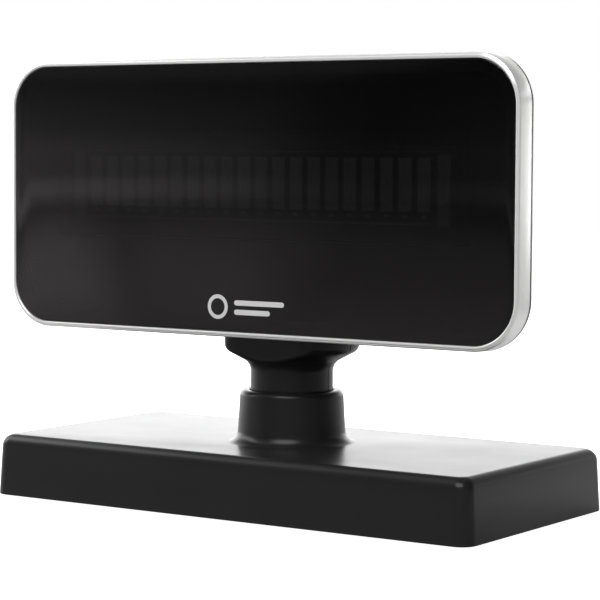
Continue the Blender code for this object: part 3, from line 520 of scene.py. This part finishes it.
def base_shell():
    """The base's cover with the collar that the neck turns in."""
    steps = 10
    loops = []
    for step in range(steps + 1):
        angle = math.pi / 2 * (1 - step / steps)
        down, inward = BASE_EDGE * (1 - math.sin(angle)), BASE_EDGE * (1 - math.cos(angle))
        loops.append(base_section(BASE_TOP - down, inward))
    skirt_round = 0.3 * MM
    loops.append(base_section(BASE_LOW.z + skirt_round, 0.0))
    loops.append(base_section(BASE_LOW.z + 0.3 * skirt_round, 0.3 * skirt_round))
    loops.append(base_section(BASE_LOW.z, skirt_round))
    loops.append(base_section(BASE_LOW.z, BASE_WALL))
    loops.append(base_section(BASE_TOP - BASE_WALL, BASE_WALL))
    shell = loft("base_shell", loops)
    top = BASE_HIGH.z
    foot, overlap = COLLAR_FOOT_RADIUS + COLLAR_FOOT_ROUND, 0.01 * MM
    profile = [
        *arc(
            COLLAR_TOP_RADIUS - COLLAR_TOP_ROUND,
            top - COLLAR_TOP_ROUND,
            COLLAR_TOP_ROUND,
            90,
            0,
            10,
        ),
        *arc(
            foot,
            BASE_TOP + COLLAR_FOOT_ROUND - overlap,
            COLLAR_FOOT_ROUND,
            180,
            268,
            12,
        ),
        (foot, WEB_LOW + 0.5 * MM),
        (COLLAR_FOOT_RADIUS - 1.5 * MM, WEB_LOW),
    ]
    centre = (0.0, SWIVEL_Y)
    join(shell, turned("collar", profile, centre))
    mouth_round = 0.6 * MM
    mouth = arc(SOCKET_RADIUS + mouth_round, top - mouth_round, mouth_round, 180, 90, 4)
    socket = [
        (WEB_HOLE, WEB_LOW - 2 * MM),
        (WEB_HOLE, WEB_HIGH),
        (SOCKET_RADIUS, WEB_HIGH),
        *mouth,
        (SOCKET_RADIUS + 0.7 * MM, top + 1 * MM),
    ]
    cut(shell, turned("socket", socket, centre))
    margin, reach_in, reach_out = 0.3 * MM, 6 * MM, 2 * MM
    jack_window = box(
        "jack_window",
        (JACK_LOW.x - margin, JACK_HIGH.y - reach_in, JACK_LOW.z - margin),
        (JACK_HIGH.x + margin, BASE_HIGH.y + reach_out, JACK_HIGH.z + margin),
    )
    cut(shell, jack_window)
    smooth(shell, 30)
    dress(shell, "base", "black_plastic", MATERIALS["black_plastic"], "base_cover")


def jack_contacts():
    """Eight sprung contacts across the mouth of the data jack, each bent back on itself."""
    count, pitch, half = 8, 1.02 * MM, 0.15 * MM
    front, back = JACK_HIGH.y - 11.6 * MM, JACK_HIGH.y - 3.2 * MM
    top = JACK_HIGH.z - 2.5 * MM
    tip = (front + 2.2 * MM, top - 3.4 * MM)
    run = [(front, top), (back, top), tip]
    square = [(-half, -half), (half, -half), (half, half), (-half, half)]
    mesh = bmesh.new()
    for number in range(count):
        middle = (number - (count - 1) / 2) * pitch
        rows = [[mesh.verts.new((middle + a, y, z + b)) for a, b in square] for y, z in run]
        mesh.faces.new(rows[0])
        mesh.faces.new(rows[-1])
        for low, high in zip(rows, rows[1:]):
            for i in range(4):
                j = (i + 1) % 4
                mesh.faces.new((low[i], low[j], high[j], high[i]))
    bmesh.ops.recalc_face_normals(mesh, faces=mesh.faces)
    dress(add_object("jack_contacts", mesh), "base", "zinc_steel", MATERIALS["gold_contacts"])


# ---- neck ----------------------------------------------------------------------------------------
NECK_RADIUS = 15.4 * MM
NECK_WALL = 2.5 * MM
CUP_RADIUS = 25.2 * MM
FLARE_LOW = 50.1 * MM
STUB_RADIUS = 12.0 * MM
SHOULDER_Z = WEB_HIGH + 1.2 * MM
BARREL_RADIUS = TILT_Y - FACET_Y
SEAM = 0.45 * MM
HEEL_Y = 26.5 * MM
HEEL_TOP = 61 * MM
SCREW_BOSS_RADIUS = 4.4 * MM


def flare_profile(inset):
    """The flare between the neck and the cup as (radius, height) pairs: a hollow bend, a shallow
    cone and a rounded rim."""
    hollow, rim, slope, steps = 5.0 * MM, 3.4 * MM, math.radians(28), 12
    turn = math.pi / 2 - slope
    turns = [turn * i / steps for i in range(steps + 1)]
    corner = FLARE_LOW + hollow * math.tan(turn / 2) + (CUP_RADIUS - NECK_RADIUS) * math.tan(slope)
    back = rim * math.tan(turn / 2)
    bend = [
        (NECK_RADIUS + hollow * (1 - math.cos(t)), FLARE_LOW + hollow * math.sin(t)) for t in turns
    ]
    shoulder = [
        (CUP_RADIUS - rim * (1 - math.cos(t)), corner + back - rim * math.sin(t))
        for t in reversed(turns)
    ]
    return [(r - inset, z + 0.6 * inset) for r, z in bend + shoulder]


def neck_body(name):
    """The neck's outside: turned, with a flat facet in front whose edges are blended."""
    rows = [
        (STUB_RADIUS, NECK_LOW.z),
        (STUB_RADIUS, SHOULDER_Z),
        (NECK_RADIUS, SHOULDER_Z),
        *dense([*flare_profile(0.0), (CUP_RADIUS, TILT_Z)], 0.3 * MM),
        (CUP_RADIUS, NECK_HIGH.z + 5 * MM),
    ]
    softness = 2.2 * MM
    steps = 192
    loops = []
    for radius, z in rows:
        loop = []
        for step in range(steps):
            turn = 2 * math.pi * step / steps
            reach = radius
            facing = -math.sin(turn)
            if facing > 0:
                reach = soft_least(radius, (SWIVEL_Y - FACET_Y) / facing, softness)
            loop.append(Vector((reach * math.cos(turn), SWIVEL_Y + reach * math.sin(turn), z)))
        loops.append(loop)
    return loft(name, loops)


def soft_least(a, b, softness):
    """The smaller of two lengths, blended where they differ by less than the softness."""
    overlap = max(softness - abs(a - b), 0.0) / softness
    return min(a, b) - overlap**2 * softness / 4


def dense(points, spacing):
    """The points, with more put between them so that none are further apart than the spacing."""
    made = [points[0]]
    for (r0, z0), (r1, z1) in zip(points, points[1:]):
        count = max(1, math.ceil(math.hypot(r1 - r0, z1 - z0) / spacing))
        for i in range(1, count + 1):
            made.append((r0 + (r1 - r0) * i / count, z0 + (z1 - z0) * i / count))
    return made


def neck_slab(name, inset, low):
    """The neck from the side: a barrel about the tilt pins on top, a leaning back."""
    radius = BARREL_RADIUS - inset
    heel = HEEL_Y - inset
    front = TILT_Y - radius - 0.5 * MM
    half_width = 30 * MM
    outline = [
        (front, low),
        (front, TILT_Z),
        *arc(TILT_Y, TILT_Z, radius - 0.02 * MM, 179, 0, 64),
        (heel, HEEL_TOP),
        (heel, low),
    ]
    return extruded(name, outline, "X", -half_width, half_width)


def neck_half(name, front):
    """One of the neck's two shells, with the fine seam between them open."""
    centre = (0.0, SWIVEL_Y)
    lead_channel = 5 * MM
    inside = [
        (lead_channel, NECK_LOW.z - MM),
        (lead_channel, 30 * MM),
        (NECK_RADIUS - NECK_WALL, 33 * MM),
        *flare_profile(NECK_WALL),
        (CUP_RADIUS - NECK_WALL, NECK_HIGH.z + 5 * MM),
    ]
    shell = neck_body(name)
    keep(shell, neck_slab("slab", 0.0, NECK_LOW.z - 2 * MM))
    hollow = turned("hollow", inside, centre)
    keep(hollow, neck_slab("hollow_slab", NECK_WALL, NECK_LOW.z - 3 * MM))
    cut(shell, hollow)
    tilt_centre = (TILT_Y, TILT_Z)
    seat_radius, bush_radius, pilot_radius, head_radius = 8 * MM, 5.05 * MM, 1.45 * MM, 3.2 * MM
    for side in (-1, 1):
        seat = [(seat_radius, side * 18.6 * MM), (seat_radius, side * 23.6 * MM)]
        join(shell, turned("seat", seat, tilt_centre, "X", 48))
        bore = [(bush_radius, side * 17 * MM), (bush_radius, side * 27 * MM)]
        cut(shell, turned("bore", bore, tilt_centre, "X", 48))
        screw_low, screw_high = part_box("neck_screw_left" if side < 0 else "neck_screw_right")
        place = ((screw_low.x + screw_high.x) / 2, (screw_low.z + screw_high.z) / 2)
        end = -17.5 * MM if front else 17.6 * MM
        boss = [(SCREW_BOSS_RADIUS, 0.0), (SCREW_BOSS_RADIUS, end)]
        join(shell, turned("boss", boss, place, "Y", 32))
        pilot = [(pilot_radius, -13 * MM), (pilot_radius, 13 * MM)]
        cut(shell, turned("pilot", pilot, place, "Y", 24))
        if not front:
            recess = [(head_radius, 12 * MM), (head_radius, 28 * MM)]
            cut(shell, turned("recess", recess, place, "Y", 48))
    lead_slot = box(
        "lead_slot",
        (-3.5 * MM, -6.5 * MM, TILT_Z + 12 * MM),
        (3.5 * MM, 13.5 * MM, NECK_HIGH.z + 5 * MM),
    )
    cut(shell, lead_slot)
    far, above = 40 * MM, 120 * MM
    low_y, high_y = (-0.5 * SEAM, far) if front else (-far, 0.5 * SEAM)
    cut(shell, box("other_half", (-far, TILT_Y + low_y, 0.0), (far, TILT_Y + high_y, above)))
    smooth(shell, 30)
    node = "neck_front_shell" if front else "neck_rear_shell"
    dress(shell, "neck", "black_plastic", MATERIALS["black_plastic"], node)


def signal_lead():
    """The lead up the swivel axis, bending towards the head at its top."""
    low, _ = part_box("signal_lead")
    radius = 2.0 * MM
    route = [
        (low.z, SWIVEL_Y),
        (40 * MM, SWIVEL_Y),
        (60 * MM, SWIVEL_Y),
        (80 * MM, SWIVEL_Y),
        (95 * MM, SWIVEL_Y),
        (101 * MM, -1.7 * MM),
        (105.5 * MM, -3.2 * MM),
        (107.6 * MM, -5.4 * MM),
        (108.0 * MM, low.y),
    ]
    points = smooth_route([Vector((0.0, y, z)) for z, y in route], 8)
    loops = []
    for before, point, after in zip([points[0], *points], points, [*points[1:], points[-1]]):
        across = Vector((1.0, 0.0, 0.0))
        out = (after - before).normalized().cross(across)
        loops.append([point + across * a + out * b for a, b in circle_outline(radius, 24)])
    lead = loft("lead", loops)
    smooth(lead, 50)
    lead.data.materials.append(MATERIALS["cable_pvc"])
    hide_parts("signal_lead")
    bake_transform(lead)


def smooth_route(knots, per_span):
    """Points on a Catmull-Rom curve through the knots."""
    knots = [2 * knots[0] - knots[1], *knots, 2 * knots[-1] - knots[-2]]
    points = []
    for a, b, c, d in zip(knots, knots[1:], knots[2:], knots[3:]):
        for step in range(per_span):
            t = step / per_span
            square = (2 * a - 5 * b + 4 * c - d) * t**2
            cube = (3 * b - a - 3 * c + d) * t**3
            points.append(0.5 * (2 * b + (c - a) * t + square + cube))
    return [*points, knots[-2]]


# ---- head ----------------------------------------------------------------------------------------
WINDOW_CORNER = 15.9 * MM
WINDOW_HALF_WIDTH = LENS_HIGH.x
WINDOW_HALF_HEIGHT = (LENS_HIGH.z - LENS_LOW.z) / 2
BEZEL_ROUND = 0.9 * MM


def window_outline(offset, y, steps=24):
    """The window's outline, let out all round by an offset, at a depth y. It sits a little low in
    the ring, and a little to the right."""
    inward = 1.0 - offset / (BEZEL_HIGH.x - WINDOW_HALF_WIDTH)
    half_width = WINDOW_HALF_WIDTH + offset + 0.2 * MM * inward
    half_height = WINDOW_HALF_HEIGHT + offset - 0.33 * MM * inward
    outline = rounded_outline(half_width, half_height, WINDOW_CORNER + offset, steps)
    return on_axis(outline, "Y", y, (0.2 * MM * inward, HEAD_Z - 0.22 * MM * inward))


def window():
    """The smoked window, with a fine round along its front edge."""
    front, back, edge, steps = LENS_LOW.y, LENS_HIGH.y, 0.25 * MM, 5
    loops = []
    for step in range(steps + 1):
        angle = math.pi / 2 * step / steps
        offset, y = -edge * (1 - math.sin(angle)), front + edge * (1 - math.cos(angle))
        loops.append(window_outline(offset, y))
    loops.append(window_outline(0.0, back))
    lens = loft("window", loops)
    smooth(lens, 40)
    dress(lens, "head", "smoked_acrylic", MATERIALS["smoked_acrylic"], "front_lens")


def bezel_ring():
    """The silver ring: a rounded ridge beside the window, a shallow hollow, and the side band."""
    front, back = BEZEL_LOW.y, BEZEL_HIGH.y
    widest = BEZEL_HIGH.x - WINDOW_HALF_WIDTH
    inner, ridge = 0.2 * MM, 0.55 * MM
    middle = inner + ridge
    section = [(inner, back), (inner, front + ridge)]
    section += arc(middle, front + ridge, ridge, 190, 300, 12)
    shoulder = widest - 0.35 * MM - BEZEL_ROUND
    section += [(middle + 0.38 * MM, front + 0.16 * MM), (middle + 0.48 * MM, front + 0.25 * MM)]
    section += arc(shoulder, front + 0.3 * MM + BEZEL_ROUND, BEZEL_ROUND, 282, 356, 10)
    section += [(widest - 0.03 * MM, back - 0.3 * MM), (widest - 0.15 * MM, back)]
    ring = loft("bezel_ring", [window_outline(offset, y) for offset, y in section], ring=True)
    smooth(ring, 40)
    dress(ring, "head", "silver_paint", MATERIALS["silver_paint"], "bezel")


REAR_WALL = 2.0 * MM
POCKET_CLEARANCE = 0.6 * MM
POCKET_HALF_WIDTH = CUP_RADIUS + 1.0 * MM
POCKET_WALL = 2.1 * MM


def rear_sections(wall):
    """The rear cover's sections from rim to back, with steep sides and a shallow top and bottom,
    drawn in by a wall."""
    rim, back = REAR_LOW.y, REAR_HIGH.y
    # depth, then in mm how far the sides and the top come in, and the corner's radius
    rows = [
        (rim, 0.1, 0.1, 18.2),
        (-22.2 * MM, 0.13, 0.11, 18.15),
        (-21.8 * MM, 0.25, 0.2, 18.1),
        (-21.4 * MM, 0.8, 0.5, 17.9),
        (-20.0 * MM, 2.5, 0.95, 17.8),
        (-16.0 * MM, 6.3, 1.6, 17.6),
        (-8.0 * MM, 13.5, 2.8, 17.2),
        (0.0, 20.2, 4.3, 17.0),
        (2.5 * MM, 22.4, 5.1, 16.8),
        (4.5 * MM, 24.5, 6.4, 16.4),
        (6.1 * MM, 26.7, 8.3, 15.6),
        (7.3 * MM, 29.4, 10.9, 14.4),
        (7.85 * MM, 31.6, 13.1, 13.2),
        (back, 33.6, 15.1, 12.0),
    ]
    half_width = (REAR_HIGH.x - REAR_LOW.x) / 2
    half_height = (REAR_HIGH.z - REAR_LOW.z) / 2
    if wall:
        rows = [(min(y, back - wall), dx, dz, corner) for y, dx, dz, corner in rows]
    sections = []
    for y, dx, dz, corner in rows:
        outline = rounded_outline(
            half_width - dx * MM - wall, half_height - dz * MM - wall, corner * MM - 0.8 * wall, 20
        )
        sections.append(on_axis(outline, "Y", y, (0.0, HEAD_Z)))
    return sections


def pocket_outline(clearance):
    """The pocket that the neck's barrel turns in, from the side, open at the bottom."""
    radius = BARREL_RADIUS + clearance
    return [
        (TILT_Y - radius, 50 * MM),
        *arc(TILT_Y, TILT_Z, radius, 180, 0, 64),
        (TILT_Y + radius, 50 * MM),
    ]


def rear_screw_places():
    """Where the rear cover's screws stand, as (x, z) pairs."""
    places = []
    for number in range(1, 5):
        low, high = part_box(f"rear_cover_screw_{number}")
        places.append(((low.x + high.x) / 2, (low.z + high.z) / 2))
    return places


def rear_housing():
    """The rear cover: a hollow shell with the neck's pocket, screw bosses, holes and vents."""
    cover = loft("rear_housing", rear_sections(0.0))
    hollow_loops = rear_sections(REAR_WALL)
    hollow_loops[0] = [Vector((p.x, REAR_LOW.y - 2 * MM, p.z)) for p in hollow_loops[1]]
    hollow = loft("hollow", hollow_loops)
    wall_half = POCKET_HALF_WIDTH + POCKET_WALL
    outline = pocket_outline(POCKET_CLEARANCE + POCKET_WALL)
    cut(hollow, extruded("pocket_walls", outline, "X", -wall_half, wall_half))
    back = REAR_HIGH.y
    for place in rear_screw_places():
        boss = [(SCREW_BOSS_RADIUS, -11.8 * MM), (SCREW_BOSS_RADIUS, back + MM)]
        cut(hollow, turned("boss", boss, place, "Y", 32))
    cut(cover, hollow)
    outline = pocket_outline(POCKET_CLEARANCE)
    cut(cover, extruded("pocket", outline, "X", -POCKET_HALF_WIDTH, POCKET_HALF_WIDTH))
    shank, head, chamfer, ledge = 1.7 * MM, 3.3 * MM, 4.1 * MM, -2 * MM
    for place in rear_screw_places():
        through = [
            (shank, -13 * MM),
            (shank, ledge),
            (head, ledge),
            (head, back - 0.4 * MM),
            (chamfer, back + 0.4 * MM),
            (chamfer, back + 2 * MM),
        ]
        cut(cover, turned("screw_hole", through, place, "Y", 48))
    pin_radius, pin_reach = 3.3 * MM, 29 * MM
    pin_hole = [(pin_radius, -pin_reach), (pin_radius, pin_reach)]
    cut(cover, turned("pin_holes", pin_hole, (TILT_Y, TILT_Z), "X", 32))
    cut(cover, box("lead_hole", (-4 * MM, -6 * MM, 93 * MM), (4 * MM, 4.4 * MM, 103 * MM)))
    count, pitch = 15, 5.2 * MM
    slot = rounded_outline(0.9 * MM, 7 * MM, 0.88 * MM, 6)
    for number in range(count):
        middle = (number - (count - 1) / 2) * pitch
        outline = [(middle + a, HEAD_Z + 15 * MM + b) for a, b in slot]
        cut(cover, extruded("vent", outline, "Y", 2 * MM, back + 2 * MM))
    smooth(cover, 30)
    dress(cover, "head", "black_plastic", MATERIALS["black_plastic"], "rear_cover")


class Slabs:
    """Many small blocks that make one piece."""

    def __init__(self):
        self.mesh = bmesh.new()

    def add(self, low, high):
        """A block between two opposite corners."""
        for vert in bmesh.ops.create_cube(self.mesh, size=1.0)["verts"]:
            for i in range(3):
                vert.co[i] = low[i] if vert.co[i] < 0 else high[i]

    def piece(self, name):
        return add_object(name, self.mesh)


COLUMNS = 20
COLUMN_PITCH = 7.64 * MM
COLUMN_HALF_WIDTH = 2.6 * MM
COLUMNS_MIDDLE = -1.2 * MM
CHARACTER_ROWS = ((111.2 * MM, 120.2 * MM), (121.0 * MM, 130.0 * MM))
GRID_FRONT = BLOCK_LOW.y
GRID_BACK = BLOCK_LOW.y + 0.25 * MM


def column_middle(column):
    return (column - (COLUMNS - 1) / 2) * COLUMN_PITCH + COLUMNS_MIDDLE


def character_backing():
    """The dark ceramic plate behind the grids."""
    plate = box("character_backing", (BLOCK_LOW.x, BLOCK_LOW.y + 1.2 * MM, BLOCK_LOW.z), BLOCK_HIGH)
    dress(plate, "head", "phosphor", MATERIALS["dark_ceramic"], "character_block")


def character_grids():
    """The unlit display: for each character a block of 5 x 7 anodes before a plain bar, a marker
    under each column, a broken line below, a fine line on top and two end posts."""
    grids, posts = Slabs(), Slabs()
    low_z, high_z = CHARACTER_ROWS[0][0], CHARACTER_ROWS[-1][1]
    marker, marker_half, marker_height = low_z - 2.2 * MM, 0.9 * MM, 1.1 * MM
    line, line_half, line_height = low_z - 4.7 * MM, COLUMN_PITCH / 4 - 0.35 * MM, 0.9 * MM
    for column in range(COLUMNS):
        middle = column_middle(column)
        left, right = middle - COLUMN_HALF_WIDTH, middle + COLUMN_HALF_WIDTH
        grids.add((left, GRID_BACK, low_z), (right, GRID_BACK + 0.3 * MM, high_z))
        for low, high in CHARACTER_ROWS:
            anodes(grids, middle, (low + high) / 2)
        left, right = middle - marker_half, middle + marker_half
        grids.add((left, GRID_FRONT, marker), (right, GRID_BACK, marker + marker_height))
        for side in (-1, 1):
            x = middle + side * COLUMN_PITCH / 4
            left, right = x - line_half, x + line_half
            posts.add((left, GRID_FRONT, line), (right, GRID_BACK, line + line_height))
    ends = [column_middle(0) - 8.2 * MM, column_middle(COLUMNS - 1) + 8.2 * MM]
    post_half, post_low, post_high = 2.6 * MM, low_z - 5 * MM, high_z + 1.5 * MM
    for x in ends:
        posts.add((x - post_half, GRID_FRONT, post_low), (x + post_half, GRID_BACK, post_high))
    posts.add((ends[0], GRID_FRONT, high_z + 1.9 * MM), (ends[1], GRID_BACK, high_z + 2.2 * MM))
    dress(grids.piece("character_grids"), "head", "phosphor", MATERIALS["phosphor"])
    dress(posts.piece("grid_posts"), "head", "phosphor", MATERIALS["grid_steel"])


def anodes(grids, middle_x, middle_z):
    """The dots of one character."""
    half, pitch_x, pitch_z = 0.38 * MM, 0.98 * MM, 1.2 * MM
    for across in range(-2, 3):
        for up in range(-3, 4):
            x, z = middle_x + across * pitch_x, middle_z + up * pitch_z
            grids.add((x - half, GRID_FRONT, z - half), (x + half, GRID_BACK, z + half))


def mark():
    """A plain printed mark on the window: a ring beside two short bars."""
    depth = 0.03 * MM
    y = LENS_LOW.y - 0.01 * MM
    middle, ring_x, ring_inner, ring_outer = 75.2 * MM, -12.6 * MM, 3.1 * MM, 4.5 * MM
    ring = [(ring_inner, 0.0), (ring_inner, -depth), (ring_outer, -depth), (ring_outer, 0.0)]
    loops = [on_axis(circle_outline(r, 96), "Y", y + s, (ring_x, middle)) for r, s in ring]
    printed = loft("window_mark", loops, ring=True)
    # each bar's ends and height, in mm
    for left, right, z in ((-5.2, 16.8, 1.7), (-5.2, 10.6, -1.7)):
        half = (right - left) / 2 * MM
        outline = rounded_outline(half, 0.95 * MM, 0.94 * MM, 8)
        bar = [(a + left * MM + half, b + middle + z * MM) for a, b in outline]
        join(printed, extruded("bar", bar, "Y", y - depth, y))
    dress(printed, "head", "acetal", MATERIALS["white_print"])


# ---- stage ---------------------------------------------------------------------------------------
# The floor's painted light and shade and the studio's brightness change along these, both towards
# the back left.
FLOOR_AXIS = (-0.82, 0.57, 0.0)
STUDIO_AXIS = (-0.65, 0.76, 0.0)
STUDIO_STRENGTH = 11.5


def floor():
    """A pale floor, white to the camera. Light and shade are painted into its colour, which the
    object
    mirrors: a painted bright stretch far in front on the left, and painted shade close in front of
    the object, pale behind it."""
    half, thickness, gap = 12.0, 0.02, 0.00002
    fade_start, fade_end = 1.5, 3.2
    plane = box("floor", (-half, -half, -thickness), (half, half, -gap))
    finish = Finish("floor", (0.8, 0.8, 0.8), 0.9)
    tree, link = finish.tree, finish.tree.links.new
    bearing = tree.nodes.new("ShaderNodeVectorMath")
    bearing.operation = "NORMALIZE"
    link(finish.place, bearing.inputs[0])
    leftward = tree.nodes.new("ShaderNodeVectorMath")
    leftward.operation = "DOT_PRODUCT"
    leftward.inputs[1].default_value = FLOOR_AXIS
    link(bearing.outputs["Vector"], leftward.inputs[0])
    # Painted light: the floor's colour far off, brightest in a stretch in front on the left.
    far = grey_ramp(
        tree,
        finish.spread(leftward.outputs["Value"], 0.0, 1.0, -1.0, 1.0),
        (
            (0.0, 0.27),
            (0.42, 0.23),
            (0.475, 0.52),
            (0.52, 0.52),
            (0.548, 0.44),
            (0.565, 0.66),
            (0.58, 0.86),
            (0.62, 0.9),
            (0.7, 0.6),
        ),
    )
    distance = tree.nodes.new("ShaderNodeVectorMath")
    distance.operation = "LENGTH"
    link(finish.place, distance.inputs[0])
    mix = tree.nodes.new("ShaderNodeMix")
    mix.data_type = "RGBA"
    apart = tree.nodes.new("ShaderNodeSeparateXYZ")
    link(finish.place, apart.inputs[0])
    # Painted shade: the floor's colour close round the object, dark in front of it and pale behind
    # it.
    backward = finish.spread(apart.outputs["Y"], 0.0, 1.0, -0.08, 0.04)
    painted_near_shade = grey_ramp(tree, backward, ((0.0, 0.38), (1.0, 0.95)))
    link(painted_near_shade, mix.inputs["A"])
    away = tree.nodes.new("ShaderNodeMath")
    away.operation = "MULTIPLY"
    link(finish.spread(distance.outputs["Value"], 0.0, 1.0, 0.3, 0.6), away.inputs[0])
    link(finish.spread(apart.outputs["Y"], 1.0, 0.0, 0.05, 0.4), away.inputs[1])
    link(away.outputs["Value"], mix.inputs["Factor"])
    link(far, mix.inputs["B"])
    link(mix.outputs["Result"], finish.shader.inputs["Base Color"])
    fade = finish.spread(distance.outputs["Value"], 1.0, 0.0, fade_start, fade_end)
    link(fade, finish.shader.inputs["Alpha"])
    finish.set(Emission_Color=(1.0, 1.0, 1.0, 1.0))
    light_path = tree.nodes.new("ShaderNodeLightPath")
    link(light_path.outputs["Is Camera Ray"], finish.shader.inputs["Emission Strength"])
    plane.data.materials.append(finish.material)


def world():
    """A pale studio: bright behind and to the left, dim in front, and white to the camera."""
    made = bpy.data.worlds.new("studio")
    bpy.context.scene.world = made
    made.use_nodes = True
    tree = made.node_tree
    tree.nodes.clear()
    link = tree.links.new
    place = tree.nodes.new("ShaderNodeTexCoord")
    along = tree.nodes.new("ShaderNodeVectorMath")
    along.operation = "DOT_PRODUCT"
    along.inputs[1].default_value = STUDIO_AXIS
    link(place.outputs["Generated"], along.inputs[0])
    share = tree.nodes.new("ShaderNodeMapRange")
    share.inputs["From Min"].default_value = -1.0
    share.inputs["From Max"].default_value = 1.0
    link(along.outputs["Value"], share.inputs["Value"])
    levels = (
        (0.0, 0.12),
        (0.15, 0.08),
        (0.3, 0.006),
        (0.33, 0.015),
        (0.36, 0.05),
        (0.42, 0.078),
        (0.63, 0.18),
        (0.75, 0.24),
        (0.88, 0.65),
        (1.0, 1.0),
    )
    direction = grey_ramp(tree, share.outputs["Result"], levels)
    up = tree.nodes.new("ShaderNodeSeparateXYZ")
    link(place.outputs["Generated"], up.inputs[0])
    rise = tree.nodes.new("ShaderNodeMapRange")
    rise.inputs["From Min"].default_value = -1.0
    link(up.outputs["Z"], rise.inputs["Value"])
    steps = (
        (-0.03, 1.0),
        (-0.023, 0.9),
        (-0.0185, 0.55),
        (0.005, 0.54),
        (0.02, 0.53),
        (0.035, 0.34),
        (0.09, 0.12),
        (0.19, 0.52),
        (0.24, 0.32),
        (0.31, 0.13),
        (0.5, 0.064),
    )
    height = grey_ramp(tree, rise.outputs["Result"], [((z + 1.0) / 2, level) for z, level in steps])
    strength = tree.nodes.new("ShaderNodeMath")
    strength.operation = "MULTIPLY"
    strength.inputs[1].default_value = STUDIO_STRENGTH
    link(height, strength.inputs[0])
    studio = tree.nodes.new("ShaderNodeBackground")
    link(strength.outputs["Value"], studio.inputs["Strength"])
    link(direction, studio.inputs["Color"])
    seen = tree.nodes.new("ShaderNodeBackground")
    seen.inputs["Color"].default_value = (1.0, 1.0, 1.0, 1.0)
    camera_ray = tree.nodes.new("ShaderNodeLightPath")
    mix = tree.nodes.new("ShaderNodeMixShader")
    link(camera_ray.outputs["Is Camera Ray"], mix.inputs[0])
    link(studio.outputs["Background"], mix.inputs[1])
    link(seen.outputs["Background"], mix.inputs[2])
    link(mix.outputs["Shader"], tree.nodes.new("ShaderNodeOutputWorld").inputs["Surface"])


def softbox(name, azimuth, elevation, distance, size, power):
    """A square area light that faces the object. Azimuth 0 is in front, positive to the right."""
    target = Vector((0.0, 0.0, 0.08))
    light = bpy.data.lights.new(name, "AREA")
    light.shape = "SQUARE"
    light.size = size
    light.energy = power
    obj = bpy.data.objects.new(name, light)
    bpy.context.scene.collection.objects.link(obj)
    a, e = math.radians(azimuth), math.radians(elevation)
    away = Vector((math.sin(a) * math.cos(e), -math.cos(a) * math.cos(e), math.sin(e)))
    obj.location = target + away * distance
    obj.rotation_mode = "QUATERNION"
    obj.rotation_quaternion = away.to_track_quat("Z", "Y")


def lights():
    softbox("key", azimuth=16, elevation=50, distance=1.3, size=0.9, power=16)
    softbox("side", azimuth=-80, elevation=30, distance=1.6, size=0.9, power=12)
    softbox("top", azimuth=-85, elevation=55, distance=1.5, size=1.4, power=3)


def camera():
    """In front to the right of the object, almost level."""
    pitch, roll, turn = -3.787, -0.281, 33.965
    data = bpy.data.cameras.new("camera")
    data.sensor_width = 36.0
    data.lens = 136.14
    data.clip_start, data.clip_end = 0.01, 100.0
    obj = bpy.data.objects.new("camera", data)
    bpy.context.scene.collection.objects.link(obj)
    obj.location = (0.4751, -0.7021, 0.1326)
    obj.rotation_euler = [math.radians(angle) for angle in (90 + pitch, roll, turn)]
    bpy.context.scene.camera = obj


# ---- assembly ------------------------------------------------------------------------------------
camera()
world()
lights()
floor()
bpy.context.scene.view_settings.view_transform = "Standard"
dress_cad_nodes()
base_shell()
jack_contacts()
neck_half("neck_front", True)
neck_half("neck_rear", False)
signal_lead()
window()
bezel_ring()
rear_housing()
character_backing()
character_grids()
mark()

bpy.context.view_layer.update()
